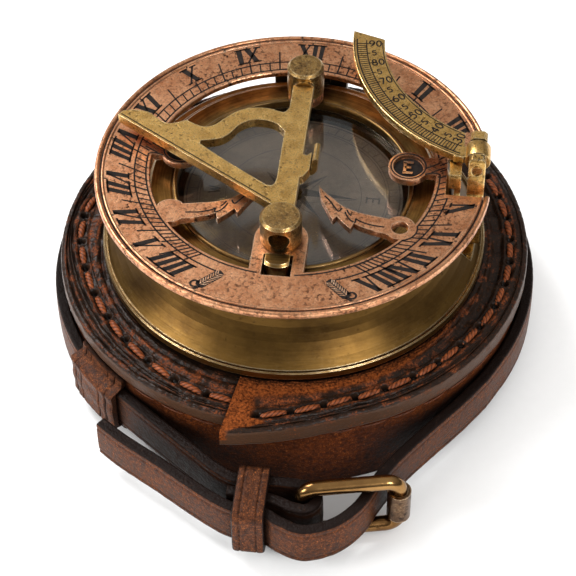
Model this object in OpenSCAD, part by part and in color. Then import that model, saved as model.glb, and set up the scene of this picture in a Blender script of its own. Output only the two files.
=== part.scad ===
// Folding sundial compass on a round leather case.
// Origin: centre of the case's flat bottom. +Z is up, +Y is north (the XII side with the hinge),
// +X is east (the side with the latitude arc). Stored closed: arc and gnomon lie flat over the dial.

/* [Leather case] */
// Outside diameter of the case wall
case_d = 120; // [118:0.5:122]
// Thickness of the case wall
wall_t = 2.6; // [2:0.2:3.4]
// Thickness of the case floor
floor_t = 3; // [2:0.5:6]
// Gap between the pad inside the case and the base above it
pad_gap = 0.4; // [0.3:0.1:1]
// Height of the case wall, floor to rim
wall_h = 21.2; // [20.8:0.2:24]
// Thickness of the padded rim
rim_t = 4.2; // [3.6:0.2:5]
// How far the rim stands out past the wall
rim_over = 1; // [0.5:0.1:2]
// Hole in the rim that the compass stands in
rim_hole_d = 90.6; // [88:0.5:92]
// How much higher the lapping half of the rim stands
lap_rise = 1; // [0.5:0.1:1.6]
// Direction in which the two halves of the rim meet at the front
lap_angle = 261; // [255:1:264]
// Angle over which the lap's free end swings out from the case
tail_turn = 31; // [24:1:36]
// How far the lap's free end stands out
tail_out = 6; // [4:0.1:6.6]
// Direction in which they meet at the back
seam_angle = 90; // [80:1:100]
// Diameter of the stitch line
thread_d = 108.4; // [106:0.2:110]
// Width of the stitch thread
thread_w = 1.6; // [1.2:0.1:2]
// Depth of the channel that the thread lies in
thread_deep = 1; // [0.6:0.1:1.4]

/* [Strap and buckle] */
// Width of the strap
strap_w = 12; // [11:0.5:12.5]
// Thickness of the strap leather
strap_t = 3.2; // [2.8:0.1:3.3]
// Height of the strap's lower edge
strap_lift = 5; // [4.8:0.1:5.4]
// Radius of the punched strap holes
strap_hole_r = 1.5; // [1:0.1:2]
// Thickness of the belt loops' leather
loop_t = 1.8; // [1.4:0.1:2.2]
// Width of a belt loop round the wall, degrees
loop_span = 16; // [12:1:20]
// Directions of the two belt loops
loop_at = [216, 82];
// Thickness of the keeper's leather
keeper_t = 1.5; // [1.2:0.1:1.8]
// Length of the keeper along the strap
keeper_w = 8; // [7:0.5:8.5]
// Radius of the buckle's wire
wire_r = 1.9; // [1.6:0.1:2]
// Radius of the buckle's corners
wire_bend = 3.4; // [3:0.1:3.8]
// Outside radius of the loose roller tube
roller_r = 2.9; // [2.7:0.1:3.2]
// Radial play of the roller on its bar
roller_play = 0.1; // [0.05:0.01:0.1]

/* [Base dish and bowl] */
// Outside diameter of the base dish
dish_d = 99; // [98:0.2:99.8]
// Outside diameter of the compass bowl
bowl_d = 80.6; // [79:0.2:81]
// Wall of the bowl
bowl_wall = 1.8; // [1.4:0.1:2.4]
// Depth of the seats for the hinge block and the bracket
seat_deep = 0.4; // [0.2:0.1:0.8]
// How far the skirt reaches down into the rim hole
skirt_deep = 3.4; // [2.5:0.1:4]
// Height of the dish floor above the leather
dish_rise = 4.4; // [4:0.1:4.6]
// Height of the bowl's top above the dish floor
bowl_rise = 13.2; // [13:0.1:13.6]
// Gap between the skirt and the leather
skirt_gap = 0.3; // [0.3:0.1:0.6]

/* [Bezel, glass and card] */
// Height of the bezel above the bowl
bezel_h = 4.5; // [4.3:0.1:4.6]
// Radius of the bezel's sight opening
sight_r = 29.2; // [28.6:0.1:29.6]
// Radius of the window glass
glass_r = 31.4; // [31:0.1:31.8]
// Thickness of the window glass
glass_t = 1.5; // [1.2:0.1:1.8]
// Radius of the turning compass card
card_r = 28; // [26:0.5:28.5]
// Thickness of the card
card_t = 0.5; // [0.4:0.1:0.8]
// Depth of the card below the glass
card_drop = 3; // [2.8:0.1:4]
// Radius of the pivot pin
pivot_r = 0.8; // [0.6:0.1:1]
// Radius of the card's cap
cap_r = 2.2; // [2:0.1:2.8]
// Play between the pivot and the cap
cap_play = 0.35; // [0.3:0.05:0.4]

/* [Hour ring] */
// Outside radius of the hour ring
ring_r = 50; // [49.6:0.1:50.5]
// Inside radius of the hour ring
ring_in_r = 36; // [35:0.5:36.5]
// Thickness of the hour ring
ring_t = 3; // [2.6:0.1:3]
// Thickness of the ring's flat web between its thicker pads
web_t = 1.5; // [1.2:0.1:2]
// Width of the ring's double beaded border
border_w = 2.4; // [2.2:0.1:2.6]
// Gap between the bezel's flat and the ring's underside
ring_gap = 2; // [1.6:0.1:2.4]
// Height of the polished outer bead on the ring's edge
bead_h = 0.6; // [0.4:0.1:0.8]
// Thickness of the scroll arms and letter discs
arm_t = 1.9; // [1.7:0.1:2.2]
// Radius of the letter discs
disc_r = 5.1; // [4.6:0.1:5.4]
// Depth of the letter discs' recess
disc_deep = 1; // [0.6:0.1:1.2]
// Place of the east letter disc (the west one mirrors it)
disc_at = [28.9, 3.4];
// Place of the east scroll pad (the west one mirrors it)
pad_at = [28.4, -18.3];
// Radius of the scroll pads
pad_r = 3.9; // [3.4:0.1:4.4]
// Radius of the hole in the east scroll pad
pad_hole_r = 2.1; // [1.6:0.1:2.4]

/* [Gnomon and posts] */
// Height of the two posts above the ring
post_h = 8; // [7.6:0.1:8.4]
// Radius of the front post
front_post_r = 5.15; // [4.8:0.05:5.4]
// Radius of the rear post
rear_post_r = 4.75; // [4.4:0.05:5]
// Distance of the front post south of the centre
front_post_y = 25; // [24.5:0.1:25.4]
// Distance of the rear post north of the centre
rear_post_y = 29.6; // [29:0.1:30]
// Radius of the pivot bores through the posts
post_bore_r = 2.6; // [2.2:0.05:2.8]
// Radial play of the gnomon's pivots
pivot_play = 0.06; // [0.03:0.01:0.1]
// Thickness of the gnomon plate
plate_t = 2.7; // [2.2:0.1:3]
// Half width of the plate's bar between the posts
bar_half = 2.65; // [2.4:0.05:2.8]
// Reach of the style's tip from the pivot line
tip_reach = 45.8; // [43:0.2:46.6]
// Angle of the style above the dial
style_angle = 57; // [56.5:0.5:60]
// Gap between the plate's ends and the posts
end_gap = 0.35; // [0.3:0.05:0.5]
// Reach of the finger tab from the pivot line
tab_reach = 6.8; // [6:0.1:7.2]

/* [Ring hinge] */
// Distance of the hinge line north of the centre
hinge_y = 44.5; // [44.3:0.1:44.7]
// Depth of the hinge line below the ring's underside
hinge_drop = 2.8; // [2.7:0.1:3]
// Radius of the hinge barrels
barrel_r = 2.5; // [2.2:0.05:2.5]
// Radius of the ring's hinge pin
ring_pin_r = 1.3; // [1.1:0.05:1.4]
// Radial play of a hinge pin
pin_play = 0.06; // [0.03:0.01:0.1]
// Half width of the hinge block
hinge_half = 9.7; // [9:0.1:10.5]
// Half width of the ring's knuckle
knuckle_half = 4.9; // [4:0.1:5.5]
// Side gap between knuckle and ears
side_gap = 0.3; // [0.3:0.05:0.4]

/* [Latitude arc] */
// Outside radius of the latitude arc, from the ring's hinge line
arc_r = 46.9; // [46.5:0.1:47]
// Width of the arc's band
arc_band = 8.4; // [7.6:0.1:8.6]
// Thickness of the arc's band
arc_t = 2.2; // [1.8:0.1:2.4]
// Distance of the arc's fold line east of the centre
fold_x = 46; // [45.9:0.1:46.2]
// Height of the fold line above the ring's top face
fold_rise = 6.2; // [6:0.1:6.6]
// Radius of the arc's fold barrel
fold_barrel_r = 3.2; // [3:0.05:3.3]
// Radius of the bracket's ears
ear_r = 3.4; // [3.3:0.05:3.6]
// Radius of the fold pin
fold_pin_r = 1.3; // [1.1:0.05:1.4]
// Width of the bracket, east to west
bracket_w = 4.2; // [4:0.1:4.4]
// Thickness of the bracket's inner leg
leg_t = 1.6; // [1.2:0.1:2]
// How far the ring's east notch reaches in past the bracket's leg
notch_lead = 2; // [1.6:0.1:2.4]
// Gap between bracket and ring
notch_gap = 0.6; // [0.5:0.05:0.8]
// Length of the arc's barrel between the ears
fold_barrel_l = 4.8; // [4.2:0.1:5.4]
// Front to back thickness of the front ear
front_ear = 3.1; // [2.8:0.1:3.2]
// Front to back thickness of the rear ear
rear_ear = 2.8; // [2.4:0.1:3]
// Radius of the small fixing screws
screw_r = 0.9; // [0.8:0.05:1]

/* [Hidden] */
$fn = 96;
eps = 0.01;

case_r = case_d / 2;
rim_r = case_r + rim_over;
rim_hole_r = rim_hole_d / 2;
rim_top = wall_h + rim_t;
thread_r = thread_d / 2;

strap_mid_r = case_r + 0.1 + strap_t / 2;
strap_mid_z = strap_lift + strap_w / 2;
left_bar = front(10.5, 15.5);
right_bar = front(33.5, 10.5);
frame_turn = atan2(right_bar.y - left_bar.y, right_bar.x - left_bar.x);
frame_l = norm(right_bar - left_bar);
frame_h = strap_w + 2 * wire_r + 0.8;
keeper_at = front(-1.6, 16.5);
keeper_gap = 0.35;
keeper_in = 3 * strap_t + 3.9;

skirt_r = rim_hole_r - skirt_gap;
dish_r = dish_d / 2;
bowl_r = bowl_d / 2;
dish_z = rim_top + dish_rise;
dish_bottom = rim_top - skirt_deep;
dish_lip_h = 0.35;
dish_lip_in_r = dish_r - 1.1;
seat_r = dish_r - 2.6;
bowl_in_r = bowl_r - bowl_wall;
bowl_top = dish_z + bowl_rise;
bowl_floor_z = dish_bottom + 2.5;

bezel_flat_z = bowl_top + bezel_h - 0.5;
lip_z = bowl_top + bezel_h;
glass_seat_z = lip_z - 2.2;
glass_z = glass_seat_z - glass_t;
glass_fit = 0.2;
retainer_h = 1.3;
card_z = glass_z - card_drop;
cap_bore_r = pivot_r + cap_play;
cap_top_z = card_z + card_t + 1.6;
pivot_top_z = card_z + card_t + 0.6;
magnet_h = 1.2;
liner_top_z = card_z - 2.6;

ring_z = bezel_flat_z + ring_gap;
ring_top = ring_z + ring_t;
arm_z = ring_top - arm_t;
axis_z = ring_top + post_h / 2;
slot_half = 3.6;
slot_y = [30.4, ring_in_r + 1.3];
catch_y = [31.4, 35.6];
catch_top = ring_top + 1.4;
catch_half = slot_half - 0.6;
front_pad_r = front_post_r + 1.45;
rear_pad_r = rear_post_r - 0.15;

hinge_z = ring_z - hinge_drop;
fold_z = ring_top + fold_rise;
arc_in_r = arc_r - arc_band;
arc_c = [fold_x + fold_z - hinge_z, hinge_y];
root_gap = ear_r + 0.1;
root_front_y = hinge_y - sqrt(pow(arc_r, 2) - pow(fold_z - hinge_z + root_gap, 2));
ear_gap = 0.3;
bracket_r = norm([hinge_y - root_front_y + ear_gap + front_ear, fold_z - hinge_z]);
barrel_back_y = root_front_y + fold_barrel_l;
ear_back_y = barrel_back_y + ear_gap + rear_ear;
notch_front_y = hinge_y - bracket_r - notch_gap - 0.5;
notch_back_y = ear_back_y + notch_gap;
foot_t = 2.2;
foot_x = bowl_r + 0.4;
notch_x = foot_x - notch_lead;
bracket_foot_y = [notch_front_y - 1.9, ear_back_y + 3.8];

// A place in front of the case: x to the east, d out from the wall's front
function front(x, d) = [x, -case_r - d];

// A place beside the wall: direction a, d out from the wall
function beside(a, d) = (case_r + d) * [cos(a), sin(a)];

// Points on an arc round c, from angle a to angle b
function arc_points(c, r, a, b, n) =
    [for (i = [0:n]) let (t = a + (b - a) * i / n) c + r * [cos(t), sin(t)]];

// One point of the smooth curve through four neighbours, t from 0 to 1
function blend(p, q, r, s, t) =
    0.5 * (2 * q + (r - p) * t + (2 * p - 5 * q + 4 * r - s) * t * t
    + (3 * q - p - 3 * r + s) * t * t * t);

// A smooth open curve through the given points
function smooth(pts, n = 4) =
    let (last = len(pts) - 1)
    concat([for (i = [0:last - 1], j = [0:n - 1])
        blend(pts[max(i - 1, 0)], pts[i], pts[i + 1], pts[min(i + 2, last)], j / n)], [pts[last]]);

// Left and right edges of a strip of thickness t along a path
function side(path, t) =
    let (last = len(path) - 1)
    [for (i = [0:last])
        let (d = path[min(i + 1, last)] - path[max(i - 1, 0)])
        path[i] + t / 2 * [-d.y, d.x] / norm(d)];

function backwards(v) = [for (i = [len(v) - 1:-1:0]) v[i]];

module strip(path, t) {
    polygon(concat(side(path, t), backwards(side(path, -t))));
}

module ring_of(r_out, r_in, h) {
    difference() {
        cylinder(r = r_out, h = h);
        translate([0, 0, -eps]) cylinder(r = r_in, h = h + 2 * eps);
    }
}

module both_sides() {
    children();
    mirror([1, 0, 0]) children();
}

// A screw standing on its point, head at the bottom
module screw_up(r, head_r, head_h, length) {
    cylinder(r = head_r, h = head_h);
    cylinder(r = r, h = length);
}

// The leather case

module case_floor() {
    color("saddlebrown") cylinder(r = case_r - wall_t, h = floor_t);
}

module case_wall() {
    color("saddlebrown") ring_of(case_r, case_r - wall_t, wall_h);
}

module case_pad() {
    color("black") translate([0, 0, floor_t])
        cylinder(r = rim_hole_r, h = dish_bottom - pad_gap - floor_t);
}

// Cross-section of the rim, rounded at its edge, with the channel for the thread
module rim_section(rise) {
    top = rim_top + rise;
    inner_step = dish_r + 0.4;
    points = concat(
        [[rim_hole_r, wall_h], [rim_r - 1.2, wall_h]],
        arc_points([rim_r - 1.2, wall_h + 1.2], 1.2, -90, 0, 6),
        arc_points([rim_r - 1.6, top - 1.6], 1.6, 0, 90, 8),
        [[thread_r + thread_w / 2, top], [thread_r + thread_w / 2, top - thread_deep],
         [thread_r - thread_w / 2, top - thread_deep], [thread_r - thread_w / 2, top]],
        rise > 0 ? [[inner_step, top], [inner_step, rim_top]] : [],
        [[rim_hole_r, rim_top]]);
    polygon(points);
}

module rim_left() {
    color("sienna") rotate([0, 0, seam_angle])
        rotate_extrude(angle = lap_angle - seam_angle) rim_section(0);
}

module rim_right() {
    color("sienna") {
        rotate([0, 0, lap_angle])
            rotate_extrude(angle = 360 - lap_angle + seam_angle) rim_section(lap_rise);
        lap_tail();
    }
}

// The outer side of the lap's free end: in from its full height, the outline grows in three steps
module lap_tail() {
    for (step = [[0, 0.9], [0.3, 0.3], [0.9, 0]])
        translate([0, 0, wall_h + step[0]])
            linear_extrude(rim_top + lap_rise - wall_h - 2 * step[0])
                polygon(concat(
                    [for (i = [0:10]) tail_point(i / 10, rim_r - 0.2 - step[1], tail_out)],
                    [for (i = [10:-1:0]) tail_point(i / 10, rim_r - 3, 0)]));
}

// A point of the lap's swung-out edge, from where it leaves the circle (0) to its cut end (1)
function tail_point(u, r, out) =
    let (a = lap_angle + tail_turn * (1 - u)) (r + out * pow(u, 1.5)) * [cos(a), sin(a)];

module thread_arc(rise) {
    translate([thread_r - thread_w / 2 + 0.05, rim_top + rise - thread_deep])
        square([thread_w - 0.1, thread_deep + 0.3]);
}

module rim_thread() {
    gap = 1.5;
    color("chocolate") {
        rotate([0, 0, seam_angle + gap])
            rotate_extrude(angle = lap_angle - seam_angle - 2 * gap) thread_arc(0);
        rotate([0, 0, lap_angle + gap])
            rotate_extrude(angle = 360 - lap_angle + seam_angle - 2 * gap) thread_arc(lap_rise);
    }
}

module belt_loops() {
    reach = strap_t + 0.4 + loop_t;
    hole_h = strap_w + 0.6;
    bottom = strap_lift - 0.3 - 3.1;
    color("saddlebrown") for (a = loop_at) rotate([0, 0, a]) rotate_extrude(angle = loop_span)
        difference() {
            translate([case_r, bottom]) square([reach, hole_h + 6.2]);
            translate([case_r - eps, bottom + 3.1]) square([strap_t + 0.4 + eps, hole_h]);
        }
}

// The strap's line: folded round the buckle's bar, once round the case, through the buckle to the tip
function strap_path() = concat(
    smooth([front(-7.6, 15.5), front(-1, 15.9), front(4.5, 17.2), front(8, 18.6)], 3),
    arc_points(left_bar, wire_r + 0.15 + strap_t / 2, -80, 90, 12),
    smooth([front(5, 11.6), front(-2, 11.7), front(-6.8, 11.5), front(-11.5, 9)], 3),
    arc_points([0, 0], strap_mid_r, 234, -28, 90),
    smooth([beside(-33.2, 2.1), beside(-42.7, 2.8), beside(-51.7, 4.5), beside(-59.5, 7.6),
        beside(-64.7, 11), front(27.4, 9.6), front(24.4, 16.2), front(19.2, 22), front(12, 25),
        front(6, 23.3), front(2.4, 21.2), front(-1.6, 20.7), front(-6, 20.1), front(-10.5, 18.1),
        front(-17, 14.2), front(-26, 8.4), front(-35.5, 2.6), front(-41.5, -1.8)], 4));

module strap() {
    hole_line = [front(-36.5, 2), front(-29.5, 6.2), front(-22.5, 10.7), front(-15.5, 15)];
    hole_turn = 33;
    color("saddlebrown") difference() {
        translate([0, 0, strap_lift]) linear_extrude(strap_w) strip(strap_path(), strap_t);
        for (p = hole_line) translate([p.x, p.y, strap_mid_z]) rotate([90, 0, -hole_turn])
            cylinder(r = strap_hole_r, h = 6, center = true);
    }
}

module keeper() {
    hole_z = strap_w + 2 * keeper_gap;
    color("saddlebrown") translate([keeper_at.x, keeper_at.y, strap_mid_z]) difference() {
        cube([keeper_w, keeper_in + 2 * keeper_t, hole_z + 2 * keeper_t], center = true);
        cube([keeper_w + 1, keeper_in, hole_z], center = true);
    }
}

// One straight bar and the bend that follows it, from its own start
module bar_and_bend(l) {
    cylinder(r = wire_r, h = l - 2 * wire_bend);
    translate([wire_bend, 0, l - 2 * wire_bend]) rotate([90, 0, 0]) rotate([0, 0, 90])
        rotate_extrude(angle = 90) translate([wire_bend, 0]) circle(r = wire_r, $fn = 32);
}

module buckle_frame() {
    color("darkgoldenrod") translate([left_bar.x, left_bar.y, strap_mid_z]) rotate([0, 0, frame_turn])
        translate([frame_l / 2, 0, 0]) for (half = [0, 180]) rotate([0, half, 0]) {
            translate([-frame_l / 2, 0, wire_bend - frame_h / 2]) bar_and_bend(frame_h);
            translate([wire_bend - frame_l / 2, 0, frame_h / 2]) rotate([0, 90, 0])
                bar_and_bend(frame_l);
        }
}

module buckle_roller() {
    length = frame_h - 2 * wire_bend - 0.4;
    color("peru") translate([right_bar.x, right_bar.y, strap_mid_z - length / 2])
        ring_of(roller_r, wire_r + roller_play, length);
}

// The base and the compass in it

module base_dish() {
    color("darkgoldenrod") difference() {
        rotate_extrude($fn = 180) polygon(concat([
            [0, dish_bottom], [skirt_r, dish_bottom], [skirt_r, rim_top], [dish_r - 2.5, rim_top],
            [dish_r - 0.3, dish_z - 2.1], [dish_r, dish_z - 1.8],
            [dish_r, dish_z + dish_lip_h - 0.3], [dish_r - 0.3, dish_z + dish_lip_h],
            [dish_lip_in_r + 0.2, dish_z + dish_lip_h]],
            [for (t = [0:0.125:1]) cove_point(t)],
            [[bowl_in_r, bowl_top], [bowl_in_r, bowl_floor_z], [0, bowl_floor_z]]));
        seat(-hinge_half - 0.05, hinge_y - barrel_r - 0.05, 2 * hinge_half + 0.1, 10, 20);
        seat(foot_x - 0.05, bracket_foot_y[0] - 0.05, 10, bracket_foot_y[1] - bracket_foot_y[0] + 0.1, 20);
        hinge_screw_places() translate([0, 0, -1]) cylinder(r = screw_r, h = dish_z - dish_bottom + 2);
        bracket_screw_places() translate([0, 0, -foot_t - 4]) cylinder(r = screw_r, h = 6);
    }
}

// The hollow curve of the base's side, from the dish floor (0) up to the bezel (1)
function cove_point(t) = [
    bowl_r + (dish_lip_in_r - bowl_r) * pow(1 - t, 2),
    dish_z + (bowl_top - dish_z) * t];

// A block that ends inside the dish's lip and stands on a flat seat cut into the hollow curve
module seat(x, y, w, d, h, gap = 0) {
    intersection() {
        translate([x, y, dish_z - seat_deep]) cube([w, d, h]);
        translate([0, 0, dish_z - seat_deep - 1]) cylinder(r = seat_r - gap, h = h + 2);
    }
}

// Where the hinge block's screws start, under the dish
module hinge_screw_places() {
    for (x = [-4.5, 4.5])
        translate([x, sqrt(pow(skirt_r - 1.3, 2) - x * x), dish_bottom]) children();
}

// Where the bracket's screws enter, on top of its foot
module bracket_screw_places() {
    for (y = [bracket_foot_y[0] + 1.7, bracket_foot_y[1] - 1.7])
        translate([sqrt(pow(seat_r - 1.6, 2) - y * y), y, dish_z + foot_t]) children();
}

module bezel_ring() {
    spigot_r = bowl_in_r - 0.05;
    bore_r = glass_r + glass_fit;
    seat = glass_seat_z;
    color("goldenrod") rotate_extrude() polygon(concat(
        [[bore_r, glass_z - retainer_h], [spigot_r, glass_z - retainer_h], [spigot_r, bowl_top],
         [bowl_r, bowl_top]],
        arc_points([bowl_r - 1, bowl_top + 1.2], 1, 0, 90, 6),
        arc_points([bowl_r - 3.6, bowl_top + 2.4], 1, 0, 90, 6),
        [[bowl_r - 4.3, bezel_flat_z], [sight_r + 2, bezel_flat_z]],
        arc_points([sight_r + 0.8, lip_z - 0.6], 0.6, 0, 180, 10),
        [[sight_r, seat], [bore_r, seat]]));
}

module window_glass() {
    color("lightblue", 0.35) translate([0, 0, glass_z]) cylinder(r = glass_r, h = glass_t);
}

module glass_retainer() {
    color("goldenrod") translate([0, 0, glass_z - retainer_h])
        ring_of(glass_r + glass_fit - 0.05, glass_r - 1.8, retainer_h);
}

module card_liner() {
    color("dimgray") translate([0, 0, bowl_floor_z]) difference() {
        cylinder(r = bowl_in_r - 0.1, h = liner_top_z - bowl_floor_z);
        translate([0, 0, 1.2]) cylinder(r = bowl_in_r - 6, h = 40);
        translate([0, 0, -eps]) cylinder(r = 4, h = 2);
    }
}

module pivot_pin() {
    color("silver") translate([0, 0, bowl_floor_z]) {
        cylinder(r = 4 - 0.05, h = 2.4);
        cylinder(r = pivot_r, h = pivot_top_z - bowl_floor_z - 1);
        translate([0, 0, pivot_top_z - bowl_floor_z - 1]) cylinder(r1 = pivot_r, r2 = 0.1, h = 1);
    }
}

module compass_card() {
    color("tan") translate([0, 0, card_z]) ring_of(card_r, cap_r, card_t);
}

module card_cap() {
    color("goldenrod") difference() {
        union() {
            translate([0, 0, card_z - 1]) cylinder(r = cap_r, h = card_t + 2.2);
            translate([0, 0, card_z + card_t + 1.2]) cylinder(r1 = cap_r, r2 = cap_r - 0.6, h = 0.4);
        }
        translate([0, 0, card_z - 1 - eps]) cylinder(r = cap_bore_r, h = pivot_top_z + 0.3 - card_z + 1);
    }
}

module card_magnet() {
    color("steelblue") difference() {
        translate([-2.6, -20, card_z - magnet_h]) cube([5.2, 40, magnet_h]);
        translate([0, 0, card_z - magnet_h - eps]) cylinder(r = cap_r, h = magnet_h + 2 * eps);
    }
}

module front_catch() {
    deep = catch_y[1] - catch_y[0];
    color("goldenrod") {
        translate([-5.5, -catch_y[1], bezel_flat_z]) cube([11, deep, ring_gap]);
        translate([0, -catch_y[0], ring_z]) intersection() {
            translate([-catch_half, -deep, 0]) cube([2 * catch_half, deep, catch_top - ring_z]);
            translate([0, 0.4, -1]) union() {
                cylinder(r = deep + 0.4, h = catch_top - ring_z + 0.4);
                translate([0, 0, catch_top - ring_z + 0.4])
                    cylinder(r1 = deep + 0.4, r2 = deep - 0.2, h = 0.6);
            }
        }
    }
}

module hinge_block() {
    back = barrel_r;
    foot_top = dish_z + 1.8;
    color("dimgray") difference() {
        union() {
            translate([-hinge_half, hinge_y - back, foot_top])
                cube([2 * hinge_half, 2 * back, hinge_z - foot_top]);
            seat(-hinge_half, hinge_y - back, 2 * hinge_half, 2 * back,
                foot_top - dish_z + seat_deep + eps, 0.05);
            translate([-hinge_half, hinge_y, hinge_z]) rotate([0, 90, 0])
                cylinder(r = barrel_r, h = 2 * hinge_half);
        }
        translate([-knuckle_half - side_gap, hinge_y - back - 1, hinge_z - barrel_r - 0.5])
            cube([2 * (knuckle_half + side_gap), 2 * back + 2, 2 * barrel_r + 2]);
        translate([-hinge_half - 1, hinge_y, hinge_z]) rotate([0, 90, 0])
            cylinder(r = ring_pin_r, h = 2 * hinge_half + 2);
        hinge_screw_places() cylinder(r = screw_r, h = dish_z - dish_bottom + 4);
    }
}

module hinge_pin() {
    color("goldenrod") translate([-hinge_half - 0.4, hinge_y, hinge_z]) rotate([0, 90, 0])
        cylinder(r = ring_pin_r, h = 2 * hinge_half + 0.8);
}

module hinge_screws() {
    color("goldenrod") hinge_screw_places() cylinder(r = screw_r, h = dish_z - dish_bottom + 4);
}

// A block as wide as the bracket whose front and back follow circles round the ring's hinge line
module curved_web(x, w, r_out, back_y, z0, z1) {
    intersection() {
        translate([x, hinge_y, hinge_z]) rotate([0, 90, 0]) cylinder(r = r_out, h = w, $fn = 180);
        translate([x - 1, hinge_y - r_out - 1, z0])
            cube([w + 2, back_y - hinge_y + r_out + 1, z1 - z0]);
    }
}

module arc_bracket() {
    web_x = fold_x - bracket_w / 2;
    slot_z = fold_z - fold_barrel_r - 0.3;
    leg_top_z = fold_z - arc_t / 2 - 0.4;
    color("darkgoldenrod") difference() {
        union() {
            curved_web(web_x, bracket_w, bracket_r, ear_back_y, dish_z + foot_t - eps, fold_z);
            intersection() {
                translate([fold_x, hinge_y - 60, fold_z]) rotate([-90, 0, 0]) rotate([0, 0, 22.5])
                    cylinder(r = ear_r, h = 80, $fn = 8);
                curved_web(web_x, bracket_w, bracket_r, ear_back_y, fold_z - ear_r, fold_z + ear_r);
            }
            curved_web(foot_x, leg_t, bracket_r, barrel_back_y, dish_z + foot_t - eps, leg_top_z);
            intersection() {
                translate([notch_x + 0.6, root_front_y - 10, ring_top + 0.6])
                    cube([foot_x - notch_x, 12, leg_top_z - ring_top - 0.6]);
                curved_web(notch_x, 8, bracket_r, barrel_back_y, ring_top, leg_top_z + 1);
            }
            seat(foot_x, bracket_foot_y[0], 10, bracket_foot_y[1] - bracket_foot_y[0],
                foot_t + seat_deep, 0.05);
        }
        translate([web_x - 3, root_front_y - ear_gap, slot_z])
            cube([bracket_w + 6, fold_barrel_l + 2 * ear_gap, 20]);
        translate([fold_x, hinge_y - 60, fold_z]) rotate([-90, 0, 0]) cylinder(r = fold_pin_r, h = 80);
        bracket_screw_places() translate([0, 0, -foot_t - 1]) cylinder(r = screw_r, h = foot_t + 2);
    }
}

module arc_fold_pin() {
    front = hinge_y - sqrt(pow(bracket_r, 2) - pow(fold_z - hinge_z, 2));
    color("goldenrod") translate([fold_x, front, fold_z]) rotate([-90, 0, 0])
        cylinder(r = fold_pin_r, h = ear_back_y - front + 0.4);
}

module bracket_screws() {
    color("goldenrod") bracket_screw_places() {
        cylinder(r = screw_r + 0.6, h = 0.9);
        translate([0, 0, -foot_t - 2]) cylinder(r = screw_r, h = foot_t + 2);
    }
}

// The hour ring and its posts

module arm_outline() {
    polygon(concat(
        smooth([[27, -15.8], [21.5, -14.9], [17.8, -14.1], [14, -12.5], [11.3, -10.1], [8.6, -7.6],
            [7.2, -5.8]]),
        smooth([[8.2, -10.2], [9.6, -13], [11.8, -17.4]], 3),
        smooth([[12.7, -16], [14.4, -18], [16.4, -20]], 3),
        smooth([[17.1, -17.9], [19, -19], [22.2, -20], [26, -21]], 3)));
}

module east_furniture() {
    translate([0, 0, arm_z]) difference() {
        union() {
            linear_extrude(arm_t) arm_outline();
            translate([pad_at.x, pad_at.y, 0]) cylinder(r = pad_r, h = arm_t);
            translate([disc_at.x, disc_at.y, 0]) cylinder(r = disc_r, h = arm_t);
            linear_extrude(arm_t) polygon([[disc_at.x + 3.4, disc_at.y + 3.4],
                [ring_in_r + 1, disc_at.y + 3.8], [ring_in_r + 1, disc_at.y - 2.6],
                [disc_at.x + 4, disc_at.y - 2.4]]);
        }
        translate([disc_at.x, disc_at.y, arm_t - disc_deep]) cylinder(r = disc_r - 1.2, h = disc_deep + eps);
    }
}

module chapter_ring() {
    pad_z = ring_z;
    color("peru") difference() {
        union() {
            rotate_extrude($fn = 180) translate([0, ring_z]) polygon(concat(
                [[ring_in_r, ring_t - web_t], [ring_r - 0.4, ring_t - web_t],
                 [ring_r, ring_t - web_t + 0.4]],
                arc_points([ring_r - bead_h, ring_t], bead_h, 0, 180, 8),
                arc_points([ring_r - border_w + 0.4, ring_t], 0.4, 0, 180, 6),
                [[ring_in_r + 0.3, ring_t], [ring_in_r, ring_t - 0.3]]));
            both_sides() east_furniture();
            translate([0, -front_post_y, pad_z]) cylinder(r = front_pad_r, h = ring_t);
            translate([-front_pad_r, -ring_in_r - 1, pad_z])
                cube([2 * front_pad_r, ring_in_r + 1 - front_post_y, ring_t]);
            translate([0, rear_post_y, pad_z]) cylinder(r = rear_pad_r, h = ring_t);
            translate([-rear_pad_r + 0.4, rear_post_y, pad_z])
                cube([2 * rear_pad_r - 0.8, ring_in_r + 1 - rear_post_y, ring_t]);
        }
        translate([pad_at.x, pad_at.y, arm_z - eps]) cylinder(r = pad_hole_r, h = arm_t + 2 * eps);
        translate([-slot_half, -slot_y[1], ring_z - 1])
            cube([2 * slot_half, slot_y[1] - slot_y[0], ring_t + 2]);
        translate([notch_x, notch_front_y, ring_z - 1])
            cube([20, notch_back_y - notch_front_y, ring_t + 2]);
        for (y = [-front_post_y, rear_post_y]) translate([0, y, ring_z - 1])
            cylinder(r = screw_r, h = ring_t + 2);
    }
}

module ring_knuckle() {
    color("dimgray") difference() {
        union() {
            translate([-knuckle_half, hinge_y, hinge_z]) rotate([0, 90, 0])
                cylinder(r = barrel_r, h = 2 * knuckle_half);
            translate([-knuckle_half, hinge_y - barrel_r, hinge_z])
                cube([2 * knuckle_half, 2 * barrel_r, hinge_drop + ring_t - web_t]);
        }
        translate([-knuckle_half - 1, hinge_y, hinge_z]) rotate([0, 90, 0])
            cylinder(r = ring_pin_r + pin_play, h = 2 * knuckle_half + 2);
    }
}

// A post: a drum with a softened top edge and the pivot bore running north to south
module post(r, bore_from, bore_to) {
    difference() {
        union() {
            cylinder(r = r, h = post_h - 0.6);
            translate([0, 0, post_h - 0.6]) cylinder(r1 = r, r2 = r - 0.6, h = 0.6);
        }
        translate([0, bore_from, post_h / 2]) rotate([-90, 0, 0])
            cylinder(r = post_bore_r, h = bore_to - bore_from);
        translate([0, 0, -1]) cylinder(r = screw_r, h = 2.1);
    }
}

module front_post() {
    color("goldenrod") translate([0, -front_post_y, ring_top]) post(front_post_r, -10, 10);
}

module rear_post() {
    color("goldenrod") translate([0, rear_post_y, ring_top]) post(rear_post_r, -10, rear_post_r - 1.2);
}

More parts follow.
